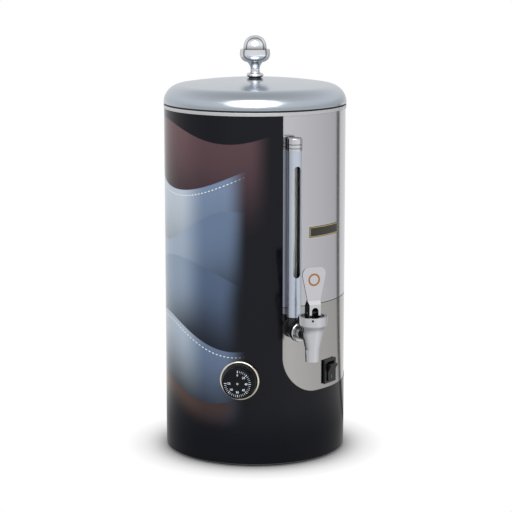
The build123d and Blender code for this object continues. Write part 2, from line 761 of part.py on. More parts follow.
def lid_knob():
    base = lid_top()

    def corner(radius, height):
        return (radius, base + height)

    foot = Polyline(
        corner(0, 0),
        corner(KNOB_FLANGE_RADIUS, 0),
        corner(KNOB_FLANGE_RADIUS, KNOB_FLANGE / 2),
        corner(KNOB_SHAFT_RADIUS, KNOB_FLANGE),
        corner(KNOB_SHAFT_RADIUS, KNOB_BEAD_LOW),
    )
    bead = ThreePointArc(
        corner(KNOB_SHAFT_RADIUS, KNOB_BEAD_LOW),
        corner(KNOB_BEAD_RADIUS, (KNOB_BEAD_LOW + KNOB_BEAD_HIGH) / 2),
        corner(KNOB_SHAFT_RADIUS, KNOB_BEAD_HIGH),
    )
    waist = ThreePointArc(
        corner(KNOB_SHAFT_RADIUS, KNOB_BEAD_HIGH),
        corner(KNOB_WAIST_RADIUS, KNOB_WAIST_HEIGHT),
        corner(KNOB_NECK_RADIUS, KNOB_NECK_HEIGHT),
    )
    cup = ThreePointArc(
        corner(KNOB_NECK_RADIUS, KNOB_NECK_HEIGHT),
        corner(KNOB_CUP_BULGE_RADIUS, KNOB_CUP_BULGE_HEIGHT),
        corner(KNOB_CUP_RADIUS, KNOB_CUP_HEIGHT),
    )
    lip = Polyline(
        corner(KNOB_CUP_RADIUS, KNOB_CUP_HEIGHT),
        corner(KNOB_LIP_RADIUS, KNOB_LIP_HEIGHT),
        corner(KNOB_ACORN_RADIUS, KNOB_LIP_HEIGHT),
    )
    acorn = Spline(
        corner(KNOB_ACORN_RADIUS, KNOB_LIP_HEIGHT),
        corner(KNOB_ACORN_SHOULDER_RADIUS, KNOB_ACORN_SHOULDER_HEIGHT),
        corner(0, KNOB_TALL),
        tangents=((0, 1), (-1, 0)),
    )
    core = Line(corner(0, KNOB_TALL), corner(0, 0))
    knob = spun(*foot.edges(), bead, waist, cup, *lip.edges(), acorn, core)
    return knob - rod(KNOB_SCREW_RADIUS + SEAT, base, base + KNOB_SCREW_DEPTH + SEAT)


def knob_screw():
    # The washer's edge meets the underside of the crown
    underside = math.sqrt((LID_CROWN - LID_SHEET) ** 2 - KNOB_WASHER_RADIUS ** 2)
    seat = lid_crown_centre() + underside - SEAT
    head_low = seat - KNOB_WASHER - KNOB_SCREW_HEAD
    washer = rod(KNOB_WASHER_RADIUS, seat - KNOB_WASHER, seat)
    head = hexagon(KNOB_SCREW_ACROSS, head_low, seat)
    return washer + head + rod(KNOB_SCREW_RADIUS, head_low, lid_top() + KNOB_SCREW_DEPTH)


# Tap

def tap_tee():
    spigot = Pos(0, -GAUGE_AXIS) * rod(GUARD_RADIUS, TAP_HEIGHT, GAUGE_BOTTOM)
    barrel = spun_corners(
        (0, TEE_BACK),
        (TEE_WALL_RADIUS, TEE_BACK),
        (TEE_FACE_RADIUS, TEE_FACE),
        (0, TEE_FACE),
    )
    start = TANK_INNER - SHANK_INSIDE
    shank = rod(SHANK_RADIUS, start, TEE_BACK)
    thread = rod(UNION_THREAD_RADIUS, TEE_FACE, TEE_FACE + UNION_THREAD)
    tee = spigot + tap_spot() * (barrel + shank + thread)
    tee -= tap_spot() * rod(TAP_BORE_RADIUS, start, TEE_FACE + UNION_THREAD)
    glass_bore = rod(GLASS_RADIUS + SEAT, GAUGE_BOTTOM - GLASS_IN_TEE, GAUGE_BOTTOM)
    way_up = rod(GLASS_RADIUS - GLASS_WALL, TAP_HEIGHT, GAUGE_BOTTOM)
    groove = rod(SOCKET_RADIUS, GAUGE_BOTTOM - 2 * ORING_RADIUS - SEAT, GAUGE_BOTTOM)
    return tee - Pos(0, -GAUGE_AXIS) * (glass_bore + way_up + groove)


def wall_seals():
    outside = ring(WALL_SEAL_RADIUS, SHANK_RADIUS + SEAT, BODY_RADIUS + SEAT, TEE_BACK)
    inside = ring(WALL_SEAL_RADIUS, SHANK_RADIUS + SEAT, TANK_INNER - TANK_SEAL, TANK_RADIUS)
    inside = (tap_spot() * inside) & rod(TANK_INNER - SEAT, 0, CASING_HEIGHT)
    return tap_spot() * outside + inside


def back_nut():
    face = TANK_INNER - TANK_SEAL
    return tap_spot() * nut(BACK_NUT_ACROSS, SHANK_RADIUS + SEAT, face - BACK_NUT, face)


def union_nut():
    radius = UNION_THREAD_RADIUS + UNION_WALL
    union = rod(radius, TEE_FACE, UNION_FACE)
    union = chamfer(union.edges().sort_by(Axis.Z)[-1], UNION_CHAMFER)
    union -= rod(TAIL_RADIUS + SEAT, TEE_FACE, UNION_FACE)
    union -= rod(UNION_THREAD_RADIUS + SEAT, TEE_FACE, UNION_FACE - UNION_LIP)
    for start in UNION_GROOVE_STARTS:
        low = TEE_FACE + start
        union -= ring(radius, radius - UNION_GROOVE_DEPTH, low, low + UNION_GROOVE)
    return tap_spot() * union


def tap_body():
    low = (0, TAP_HEIGHT - SPOUT_DROP)
    cone = (CUP_CONE_RADIUS, TAP_HEIGHT + CUP_CONE_RISE)
    side = (CUP_SIDE_RADIUS, TAP_HEIGHT + CUP_SIDE_RISE)
    spout = Polyline(
        low,
        (SPOUT_RADIUS, TAP_HEIGHT - SPOUT_DROP),
        (SPOUT_NECK_RADIUS, TAP_HEIGHT - SPOUT_NECK_DROP),
        cone,
    )
    # The flare leaves the cone along it and runs upright into the side below the rim
    along = (CUP_CONE_RADIUS - SPOUT_NECK_RADIUS, CUP_CONE_RISE + SPOUT_NECK_DROP)
    middle = (CUP_FLARE_RADIUS, TAP_HEIGHT + CUP_FLARE_RISE)
    flare = Spline(cone, middle, side, tangents=(along, (0, 1)))
    rim = Polyline(side, (CUP_RIM_RADIUS, CUP_RIM), (0, CUP_RIM), low)
    cup = spun(*spout.edges(), flare, *rim.edges())
    recess = rod(BONNET_RADIUS, BONNET_LOW, CUP_RIM)
    chamber = rod(CHAMBER_RADIUS, VALVE_SEAT, CUP_RIM)
    spout_bore = rod(SPOUT_BORE_RADIUS, TAP_HEIGHT - SPOUT_DROP, CUP_RIM)
    collar_start = TEE_FACE + UNION_THREAD + SEAT
    collar = rod(UNION_THREAD_RADIUS, collar_start, UNION_FACE - UNION_LIP - SEAT)
    tail = tap_spot() * (collar + rod(TAIL_RADIUS, collar_start, TAP_AXIS))
    body = Pos(0, -TAP_AXIS) * cup + tail - Pos(0, -TAP_AXIS) * (recess + chamber + spout_bore)
    return body - tap_spot() * rod(TAP_BORE_RADIUS, collar_start, TAP_AXIS)


def tap_bonnet():
    bonnet = ring(BONNET_RADIUS - SEAT, STEM_RADIUS + RUNNING, BONNET_LOW, BONNET_TOP)
    return Pos(0, -TAP_AXIS) * bonnet


def tap_stem():
    shaft = rod(STEM_RADIUS, SEAL_TOP - STEM_IN_SEAL, LEVER_PIN)
    collar = rod(STEM_COLLAR_RADIUS, SEAL_TOP, COLLAR_TOP)
    eye_width = LEVER_ARCH_WIDTH - 2 * FREE
    eye = Pos(0, 0, LEVER_PIN) * cross_rod(STEM_EYE_RADIUS, eye_width / 2)
    hole = Pos(0, 0, LEVER_PIN) * cross_rod(LEVER_PIN_RADIUS + RUNNING, eye_width / 2)
    return Pos(0, -TAP_AXIS) * (shaft + collar + eye - hole)


def valve_seal():
    seal = rod(VALVE_SEAL_RADIUS, VALVE_SEAT + SEAT, SEAL_TOP)
    return Pos(0, -TAP_AXIS) * (seal - rod(STEM_RADIUS + SEAT, SEAL_TOP - STEM_IN_SEAL - SEAT, SEAL_TOP))


def tap_spring():
    low = COLLAR_TOP + SPRING_WIRE_RADIUS + SEAT
    height = BONNET_LOW - SPRING_WIRE_RADIUS - SEAT - low
    coil = Helix(height / SPRING_TURNS, height, SPRING_COIL_RADIUS)
    wire = Plane(origin=coil @ 0, z_dir=coil % 0) * Circle(SPRING_WIRE_RADIUS)
    return Pos(0, -TAP_AXIS, low) * sweep(wire, path=coil, is_frenet=True)


def lever_side(*corners):
    # Side view of the lever: outwards from the tap's axis, and up from its foot
    return make_face(Polyline(*[(TAP_AXIS + out, LEVER_FOOT + up) for out, up in corners], close=True))


def lever_arch(back, front):
    round_top = LEVER_ARCH_TALL - LEVER_ARCH_WIDTH / 2
    arch = Pos(0, round_top / 2) * Rectangle(LEVER_ARCH_WIDTH, round_top)
    arch += Pos(0, round_top) * Circle(LEVER_ARCH_WIDTH / 2)
    return radial(0, LEVER_FOOT) * Pos(0, 0, TAP_AXIS + back) * extrude(arch, front - back)


def side_slab(section, width):
    # A side view, drawn outwards and up, made as wide as it is across the urn
    sideways = Plane(origin=(-width / 2, 0, 0), x_dir=(0, -1, 0), z_dir=(-1, 0, 0))
    return sideways * extrude(section, -width)


def lever_pin():
    return Pos(0, -TAP_AXIS, LEVER_PIN) * cross_rod(LEVER_PIN_RADIUS, LEVER_CORE_WIDTH / 2)


def lever_core():
    upper_back = LEVER_FOOT_FRONT - LEVER_STEP
    section = lever_side(
        (-LEVER_FOOT_BACK, 0),
        (LEVER_FOOT_FRONT, 0),
        (LEVER_FOOT_FRONT, LEVER_BEND_LOW),
        (upper_back, LEVER_BEND_LOW + LEVER_BEND_TALL),
        (upper_back, LEVER_CORE_TALL),
        (-LEVER_FOOT_BACK, LEVER_CORE_SHOULDER),
    )
    core = side_slab(section, LEVER_CORE_WIDTH)
    core -= lever_arch(-STEM_EYE_RADIUS - 2 * FREE, LEVER_FOOT_FRONT)
    return core - Pos(0, -TAP_AXIS, LEVER_PIN) * cross_rod(LEVER_PIN_RADIUS + SEAT, LEVER_CORE_WIDTH / 2)


def lever_plate():
    back = LEVER_FOOT_FRONT
    front = LEVER_FOOT_FRONT + LEVER_PLATE
    bend_high = LEVER_BEND_LOW + LEVER_BEND_TALL
    # The plate keeps its thickness round both bends
    rise = LEVER_PLATE * math.tan(math.atan2(LEVER_STEP, LEVER_BEND_TALL) / 2)
    strip = lever_side(
        (back, LEVER_PLATE_LIFT),
        (front, LEVER_PLATE_LIFT),
        (front, LEVER_BEND_LOW + rise),
        (front - LEVER_STEP, bend_high + rise),
        (front - LEVER_STEP, LEVER_TALL),
        (back - LEVER_STEP, LEVER_TALL),
        (back - LEVER_STEP, bend_high),
        (back, LEVER_BEND_LOW),
    )
    low_half = LEVER_LOW_WIDTH / 2
    top_half = LEVER_TOP_WIDTH / 2
    side_low = LEVER_TALL - LEVER_TOP_SIDE
    outline = Sketch() + make_face(Polyline(
        (-low_half, 0),
        (low_half, 0),
        (low_half, LEVER_BEND_LOW),
        (top_half, side_low),
        (top_half, LEVER_TALL),
        (-top_half, LEVER_TALL),
        (-top_half, side_low),
        (-low_half, LEVER_BEND_LOW),
        close=True,
    ))
    outline = fillet(outline.vertices().group_by(Axis.Y)[-1], LEVER_TOP_ROUND)
    face = radial(0, LEVER_FOOT) * Pos(0, 0, TAP_AXIS) * extrude(outline, 2 * front)
    plate = side_slab(strip, LEVER_TOP_WIDTH + LEVER_PLATE) & face
    return plate - lever_arch(0, 2 * front)


# Sight gauge

def gauge_guard():
    guard = Pos(0, -GAUGE_AXIS) * ring(GUARD_RADIUS, GUARD_RADIUS - GUARD_SHEET, GAUGE_BOTTOM, GUARD_TOP)
    slot_tall = GUARD_SLOT_HIGH - GUARD_SLOT_LOW
    slot = Rot(0, 0, 90) * SlotOverall(slot_tall, GUARD_SLOT_WIDTH)
    place = radial(0, (GUARD_SLOT_LOW + GUARD_SLOT_HIGH) / 2) * Pos(0, 0, GAUGE_AXIS)
    return guard - place * extrude(slot, 2 * GUARD_RADIUS)


def gauge_glass():
    low = GAUGE_BOTTOM - GLASS_IN_TEE + SEAT
    tube = ring(GLASS_RADIUS, GLASS_RADIUS - GLASS_WALL, low, GUARD_TOP + GLASS_IN_CAP)
    return Pos(0, -GAUGE_AXIS) * tube


def gauge_cap():
    radius = GUARD_RADIUS + CAP_PROUD
    cap = rod(radius, GUARD_TOP, GUARD_TOP + CAP_TALL)
    cap = fillet(cap.edges().sort_by(Axis.Z)[-1], CAP_ROUND)
    for rise in CAP_GROOVE_RISES:
        low = GUARD_TOP + rise
        cap -= ring(radius, radius - CAP_GROOVE_DEPTH, low, low + CAP_GROOVE)
    cap -= rod(GLASS_RADIUS + SEAT, GUARD_TOP, GUARD_TOP + GLASS_IN_CAP + SEAT)
    cap -= rod(SOCKET_RADIUS, GUARD_TOP, GUARD_TOP + 2 * ORING_RADIUS + SEAT)
    cap = Pos(0, -GAUGE_AXIS) * cap
    return cap - stud_spot() * rod(STUD_RADIUS + SEAT, BODY_RADIUS, STUD_END)


def gauge_stud():
    return stud_spot() * rod(STUD_RADIUS, CASING_INNER - STUD_INSIDE, STUD_END - SEAT)


def gauge_stud_nut():
    seat = inner_seat(STUD_NUT_ACROSS)
    return stud_spot() * nut(STUD_NUT_ACROSS, STUD_RADIUS + SEAT, seat - STUD_NUT, seat)


def gauge_orings():
    oring = Torus(GLASS_RADIUS + SEAT + ORING_RADIUS, ORING_RADIUS)
    low = Pos(0, -GAUGE_AXIS, GAUGE_BOTTOM - ORING_RADIUS) * oring
    high = Pos(0, -GAUGE_AXIS, GUARD_TOP + ORING_RADIUS) * oring
    return Part() + [low, high]


# Cable gland

def gland_body():
    flange = BODY_RADIUS + SEAT
    neck = flange + GLAND_FLANGE
    body = nut(GLAND_ACROSS, GLAND_BORE_RADIUS, flange, neck)
    body += ring(GLAND_THREAD_RADIUS, GLAND_ENTRY_RADIUS, CASING_INNER - GLAND_INSIDE, flange)
    body += ring(GLAND_NECK_RADIUS, GLAND_BORE_RADIUS, neck, neck + GLAND_NECK)
    return gland_spot() * body


def gland_cap():
    low = BODY_RADIUS + SEAT + GLAND_FLANGE
    high = low + GLAND_NECK + SEAT + GLAND_CAP_LIP
    cap = fillet(rod(GLAND_CAP_RADIUS, low, high).edges().sort_by(Axis.Z)[-1], GLAND_CAP_ROUND)
    cap -= rod(GLAND_NECK_RADIUS + SEAT, low, high - GLAND_CAP_LIP)
    return gland_spot() * (cap - rod(GLAND_BORE_RADIUS + FREE, low, high))


def gland_locknut():
    seat = inner_seat(GLAND_ACROSS)
    return gland_spot() * nut(GLAND_ACROSS, GLAND_THREAD_RADIUS + SEAT, seat - GLAND_NUT, seat)


# Thermostat

def control_can():
    can = rod(CAN_RADIUS, CAN_BACK, CAN_FRONT)
    can -= rod(CAN_RADIUS - CAN_SHEET, CAN_BACK + CAN_SHEET, CAN_FRONT - CAN_SHEET)
    can -= rod(PROBE_RADIUS + SEAT, CAN_BACK, CAN_BACK + CAN_SHEET)
    return control_spot() * (can - rod(SHAFT_RADIUS + RUNNING, CAN_FRONT - CAN_SHEET, CAN_FRONT))


def control_ring():
    trim = ring(CAN_RADIUS + TRIM_WALL, CAN_RADIUS + SEAT, BODY_RADIUS / 2, TRIM_FRONT)
    trim = fillet(trim.edges().group_by(Axis.Z)[-1].sort_by(SortBy.LENGTH)[-1], TRIM_ROUND)
    trim = fillet(trim.edges().group_by(Axis.Z)[-1].sort_by(SortBy.LENGTH)[0], TRIM_INNER_ROUND)
    return control_spot() * trim - rod(BODY_RADIUS + SEAT, 0, CASING_HEIGHT)


def control_knob():
    knob = spun_corners(
        (0, DIAL_BACK),
        (DIAL_BASE_RADIUS, DIAL_BACK),
        (DIAL_RADIUS, DIAL_FACE),
        (0, DIAL_FACE),
    )
    knob = fillet(knob.edges().sort_by(Axis.Z)[-1], DIAL_ROUND)
    knob -= rod(SHAFT_RADIUS + SEAT, DIAL_BACK, DIAL_BACK + SHAFT_IN_KNOB + SEAT)
    return control_spot() * (knob - rod(DIAL_CAP_RADIUS + SEAT, DIAL_FACE - DIAL_CAP, DIAL_FACE))


def control_cap():
    return control_spot() * rod(DIAL_CAP_RADIUS, DIAL_FACE - DIAL_CAP + SEAT, DIAL_FACE + DIAL_CAP_PROUD)


def control_shaft():
    shaft = rod(SHAFT_RADIUS, CAN_FRONT - SHAFT_BEHIND, DIAL_BACK + SHAFT_IN_KNOB)
    collar_high = CAN_FRONT - CAN_SHEET - FREE
    return control_spot() * (shaft + rod(SHAFT_COLLAR_RADIUS, collar_high - SHAFT_COLLAR, collar_high))


def control_probe():
    inner_end = BOILER_RADIUS - PROBE_INSIDE
    probe = rod(PROBE_RADIUS, inner_end, CAN_BACK + CAN_SHEET)
    shoulder = hexagon(PROBE_NUT_ACROSS, CAN_BACK - PROBE_NUT, CAN_BACK)
    return control_spot() * (probe + shoulder)


def probe_boss():
    boss = ring(PROBE_BOSS_RADIUS, PROBE_RADIUS + SEAT, BOILER_RADIUS / 2, CAN_BACK - PROBE_NUT)
    return control_spot() * boss - rod(BOILER_RADIUS + SEAT, 0, CASING_HEIGHT)


# Switch

def switch_window():
    return ROCKER_WIDE + 2 * ROCKER_GAP, ROCKER_TALL + 2 * ROCKER_END_GAP


def switch_housing():
    wide, tall = switch_window()
    front = SWITCH_BACK + SWITCH_BEZEL
    bezel = block(SWITCH_WIDE, SWITCH_TALL, SWITCH_BACK, front)
    bezel = fillet(bezel.edges().group_by(Axis.Z)[-1], SWITCH_BEZEL_ROUND)
    housing = bezel + block(HOUSING_WIDE, HOUSING_TALL, SWITCH_BACK - HOUSING_DEPTH, SWITCH_BACK)
    housing -= block(wide, tall, ROCKER_PIVOT - HOUSING_POCKET, front)
    housing -= Pos(0, 0, ROCKER_PIVOT) * cross_rod(TRUNNION_RADIUS + RUNNING, HOUSING_WIDE / 2)
    return switch_spot() * housing


def switch_rocker():
    end = ROCKER_TALL / 2
    back = ROCKER_BACK_TALL / 2
    section = make_face(Polyline(
        (-end, ROCKER_END),
        (0, ROCKER_MIDDLE),
        (end, ROCKER_END),
        (end, ROCKER_HEEL),
        (back, -ROCKER_BACK),
        (-back, -ROCKER_BACK),
        (-end, ROCKER_HEEL),
        close=True,
    ))
    rocker = Pos(-ROCKER_WIDE / 2, 0, 0) * (Plane.YZ * extrude(section, ROCKER_WIDE))
    ends = rocker.edges().filter_by(Axis.X).group_by(Axis.Z)[-1]
    rocker = fillet(ends, ROCKER_ROUND)
    rocker += cross_rod(TRUNNION_RADIUS, ROCKER_WIDE / 2 + TRUNNION_LENGTH)
    return switch_spot() * Pos(0, 0, ROCKER_PIVOT) * Rot(ROCKER_TILT, 0, 0) * rocker


def switch_terminals():
    back = SWITCH_BACK - HOUSING_DEPTH
    tab = block(TAB_WIDE, TAB_THICK, back - TAB_LENGTH, back)
    tabs = [place * tab for place in GridLocations(TAB_PITCH, TAB_PITCH, 2, 2)]
    return switch_spot() * (Part() + tabs)


NODES = (
    lower_casing, upper_casing, joint_band, printed_film, label_plate,
    base_lip, base_plate, base_screws, foot_ring,
    coffee_tank, boiler_vessel, boiler_gasket, boiler_cover, floor_gasket, cover_bolts,
    heating_element, heater_nuts, thermostat, thermal_cutout, terminal_block,
    riser_tube, riser_nut, basket_collar, filter_basket, spray_head,
    lid_dome, lid_gasket, lid_knob, knob_screw,
    tap_tee, wall_seals, back_nut, union_nut, tap_body, tap_bonnet, tap_stem, valve_seal, tap_spring,
    lever_pin, lever_core, lever_plate,
    gauge_guard, gauge_glass, gauge_cap, gauge_orings, gauge_stud, gauge_stud_nut,
    gland_body, gland_cap, gland_locknut,
    control_can, control_ring, control_knob, control_cap, control_shaft, control_probe, probe_boss,
    switch_housing, switch_rocker, switch_terminals,
)


def main():
    os.makedirs("parts", exist_ok=True)
    for node in NODES:
        solid = Pos(0, 0, CASING_BOTTOM) * node()
        export_step(solid, f"parts/{node.__name__}.step")


if __name__ == "__main__":
    main()
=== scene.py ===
import math

import bmesh
import bpy
from mathutils import Matrix, Vector


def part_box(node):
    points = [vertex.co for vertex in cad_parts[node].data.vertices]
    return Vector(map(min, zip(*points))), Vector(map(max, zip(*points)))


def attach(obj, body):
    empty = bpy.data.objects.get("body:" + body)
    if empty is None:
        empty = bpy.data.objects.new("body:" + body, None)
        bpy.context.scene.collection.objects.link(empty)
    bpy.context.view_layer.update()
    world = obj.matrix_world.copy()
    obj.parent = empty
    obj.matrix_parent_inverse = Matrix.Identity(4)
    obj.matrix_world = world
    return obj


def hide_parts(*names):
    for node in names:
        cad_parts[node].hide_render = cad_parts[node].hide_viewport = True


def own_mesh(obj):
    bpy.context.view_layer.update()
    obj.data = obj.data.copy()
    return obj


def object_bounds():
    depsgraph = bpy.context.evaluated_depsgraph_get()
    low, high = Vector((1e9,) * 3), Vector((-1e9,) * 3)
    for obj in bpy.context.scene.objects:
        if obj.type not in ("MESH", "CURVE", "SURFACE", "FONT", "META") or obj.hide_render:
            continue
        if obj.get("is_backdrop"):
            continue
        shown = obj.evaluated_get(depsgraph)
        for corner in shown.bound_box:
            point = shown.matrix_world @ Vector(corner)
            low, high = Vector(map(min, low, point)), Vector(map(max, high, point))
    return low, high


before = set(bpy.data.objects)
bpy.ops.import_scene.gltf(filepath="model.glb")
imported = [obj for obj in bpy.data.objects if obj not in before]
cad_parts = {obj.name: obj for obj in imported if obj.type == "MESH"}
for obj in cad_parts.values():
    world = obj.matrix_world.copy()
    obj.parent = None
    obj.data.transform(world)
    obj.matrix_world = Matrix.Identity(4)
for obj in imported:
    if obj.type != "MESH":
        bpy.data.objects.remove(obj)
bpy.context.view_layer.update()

mm = 0.001
wholeSpan = (0.0, 1.0)
falling = (1.0, 0.0)
smooth = {"interpolation_type": "SMOOTHSTEP"}
noiseSpan = (0.3, 0.7)  # most of a noise texture lies between these
plainDetail = 2.0  # octaves of noise
fineDetail = 3.0
richDetail = 4.0
occlusionSamples = 8
print("frame loaded with", len(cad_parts), "nodes")


def toLinear(hexText):
    channels = [int(hexText[i:i + 2], 16) / 255 for i in (1, 3, 5)]
    return tuple(c / 12.92 if c <= 0.04045 else ((c + 0.055) / 1.055) ** 2.4 for c in channels) + (1.0,)


def feedSockets(tree, node, feeds):
    for socket, value in feeds.items():
        if isinstance(value, bpy.types.Node):
            value = next(out for out in value.outputs if out.enabled)
        if isinstance(value, bpy.types.NodeSocket):
            tree.links.new(value, node.inputs[socket])
        else:
            node.inputs[socket].default_value = value


def addNode(tree, kind, feeds=None, **settings):
    node = tree.nodes.new("ShaderNode" + kind)
    for name, value in settings.items():
        setattr(node, name, value)
    feedSockets(tree, node, feeds or {})
    return node


def doMath(tree, operation, *values, **settings):
    return addNode(tree, "Math", dict(enumerate(values)), operation=operation, **settings)


def mapRange(tree, value, span, result=wholeSpan, **settings):
    return addNode(tree, "MapRange", dict(enumerate((value, *span, *result))), **settings)


def mixTones(tree, share, *tones, **settings):
    first, second = [toLinear(tone) if isinstance(tone, str) else tone for tone in tones]
    return addNode(tree, "Mix", {0: share, 6: first, 7: second}, data_type="RGBA", **settings)


def addNoise(tree, vector, size, detail=plainDetail):
    return addNode(tree, "TexNoise", {"Vector": vector, "Scale": 1 / size, "Detail": detail})


def addBump(tree, height, strength, deep):
    return addNode(tree, "Bump", {"Height": height, "Strength": strength, "Distance": deep})


def addOpenness(tree, reach, span, result=wholeSpan):
    # low deep in a corner, high in the open
    found = addNode(tree, "AmbientOcclusion", {"Distance": reach}, samples=occlusionSamples)
    return mapRange(tree, found.outputs["AO"], span, result)


def setStops(ramp, stops):
    for index, (position, level) in enumerate(stops):
        # a new ramp has two stops
        stop = ramp.elements[index] if index < 2 else ramp.elements.new(position)
        stop.position = position
        stop.color = (level, level, level, 1.0)


def radianSpan(first, last):
    return math.radians(first), math.radians(last)


def angleRound(tree, axes):
    # radians round the urn from the tap, right is plus
    front = doMath(tree, "MULTIPLY", axes.outputs["Y"], -1.0)
    return doMath(tree, "ARCTAN2", axes.outputs["X"], front)


def flatReach(tree, vector):
    # distance from the upright axis
    flat = addNode(tree, "VectorMath", {0: vector, 1: (1.0, 1.0, 0.0)}, operation="MULTIPLY")
    return addNode(tree, "VectorMath", {0: flat}, operation="LENGTH").outputs["Value"]


def newMaterial(name):
    material = bpy.data.materials.new(name)
    material.use_nodes = True
    tree = material.node_tree
    tree.nodes.clear()
    shader = addNode(tree, "BsdfPrincipled")
    addNode(tree, "OutputMaterial", {"Surface": shader.outputs["BSDF"]})
    place = addNode(tree, "TexCoord").outputs["Object"]
    return material, tree, shader, place


def patchyMaterial(name, tones, patch, roughness, span=wholeSpan, detail=plainDetail, fixed=None):
    material, tree, shader, place = newMaterial(name)
    noise = addNoise(tree, place, patch, detail)
    feedSockets(tree, shader, {
        "Base Color": mixTones(tree, noise, *tones),
        "Roughness": mapRange(tree, noise, span, roughness),
        **(fixed or {}),
    })
    return material


def dress(material, *nodeNames):
    for name in nodeNames:
        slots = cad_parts[name].material_slots
        if not slots:
            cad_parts[name].data.materials.append(material)
        for slot in slots:
            slot.material = material


def keepPiece(bm, name, material, body):
    mesh = bpy.data.meshes.new(name)
    bm.normal_update()
    bm.to_mesh(mesh)
    bm.free()
    piece = bpy.data.objects.new(name, mesh)
    bpy.context.scene.collection.objects.link(piece)
    piece.data.materials.append(material)
    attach(piece, body)
    return piece


def wallSpot(angle, out, height):
    # x runs round the urn, y up and z outwards, from the urn's axis
    turn = math.radians(angle)
    sideways = Vector((math.cos(turn), math.sin(turn), 0))
    outwards = Vector((math.sin(turn), -math.cos(turn), 0))
    spot = outwards * out
    return Matrix((
        (sideways.x, 0, outwards.x, spot.x),
        (sideways.y, 0, outwards.y, spot.y),
        (0, 1, 0, height),
        (0, 0, 0, 1),
    ))


# Printed vinyl: a laminated wrap, so a clear gloss over ink, a little orange peel in the gloss
wrap = {
    "ground": "#0c0d14",
    "radius": 110 * mm,
    # edge height, swing, waves round the urn, phase in degrees, fade below, two tints, where it ends
    "folds": [
        (398, 12, 3, 30, 120, "#5a4448", "#4b383d", -12),
        (352, 24, 2, 65, 150, "#a6b0bb", "#66778f", -27),
        (286, 22, 3, 200, 130, "#8c99a9", "#596a83", -28),
        (222, 26, 2, 250, 110, "#7b8a9c", "#48576f", -31),
        (158, 18, 3, 20, 100, "#98a4b1", "#586880", -28),
        (86, 11, 4, 120, 34, "#45352f", "#3a2b27", -30),
    ],
    "edge": 0.7 * mm,
    "paleUntil": -76,
    "deepFrom": -54,
    "deepUntil": 110,
    "paleFrom": 165,
    "fadeAngle": 14,
    "backFrom": 96,
    "backAt": 138,
    "stitchFolds": (1, 4),
    "stitchBelow": 7 * mm,
    "stitchSolid": 0.315 * mm,
    "stitchEdge": 0.585 * mm,
    "stitchPitch": 4.8 * mm,
    "stitchShare": 0.5,
    "stitchColour": "#e4e6e8",
    "roughness": (0.102, 0.138),
    "peel": 1.6 * mm,
    "peelStrength": 0.02,
    "peelDeep": 0.1 * mm,
    "ior": 1.5,
    "specular": 0.18,
}
vinyl, tree, shader, place = newMaterial("laminatedVinyl")
axes = addNode(tree, "SeparateXYZ", {0: place})
angle = angleRound(tree, axes)
height = axes.outputs["Z"]
colour = wrap["ground"]
back = mapRange(tree, angle, radianSpan(wrap["backFrom"], wrap["backAt"]))
deepFront = mapRange(tree, angle, radianSpan(wrap["paleUntil"], wrap["deepFrom"]), **smooth)
deepBack = mapRange(tree, angle, radianSpan(wrap["deepUntil"], wrap["paleFrom"]), falling, **smooth)
deep = doMath(tree, "MINIMUM", deepFront, deepBack)
stitches = []
for number, (edge, swing, waves, phase, fade, pale, strong, end) in enumerate(wrap["folds"]):
    turned = doMath(tree, "MULTIPLY_ADD", angle, waves, math.radians(phase))
    wave = doMath(tree, "SINE", turned)
    line = doMath(tree, "MULTIPLY_ADD", wave, swing * mm, edge * mm)
    below = doMath(tree, "SUBTRACT", line, height)
    crisp = mapRange(tree, below, (0.0, wrap["edge"]))
    soft = mapRange(tree, below, (0.0, fade * mm), falling, **smooth)
    side = mapRange(tree, angle, radianSpan(end - wrap["fadeAngle"], end), falling, **smooth)
    where = doMath(tree, "ADD", side, back, use_clamp=True)
    shape = doMath(tree, "MULTIPLY", crisp, soft)
    share = doMath(tree, "MULTIPLY", shape, where)
    tint = mixTones(tree, deep, pale, strong)
    colour = mixTones(tree, share, colour, tint)
    if number in wrap["stitchFolds"]:
        off = doMath(tree, "SUBTRACT", below, wrap["stitchBelow"])
        away = doMath(tree, "ABSOLUTE", off)
        row = mapRange(tree, away, (wrap["stitchSolid"], wrap["stitchEdge"]), falling)
        along = doMath(tree, "MULTIPLY", angle, wrap["radius"] / wrap["stitchPitch"])
        part = doMath(tree, "FRACT", along)
        dash = doMath(tree, "LESS_THAN", part, wrap["stitchShare"])
        marked = doMath(tree, "MULTIPLY", row, dash)
        stitches.append(doMath(tree, "MULTIPLY", marked, where))
for stitch in stitches:
    colour = mixTones(tree, stitch, colour, wrap["stitchColour"])
peel = addNoise(tree, place, wrap["peel"])
feedSockets(tree, shader, {
    "Base Color": colour,
    "Roughness": mapRange(tree, peel, noiseSpan, wrap["roughness"]),
    "Normal": addBump(tree, peel, wrap["peelStrength"], wrap["peelDeep"]),
    "IOR": wrap["ior"],
    "Specular IOR Level": wrap["specular"],
})
dress(vinyl, "printed_film")
print("wrap printed")

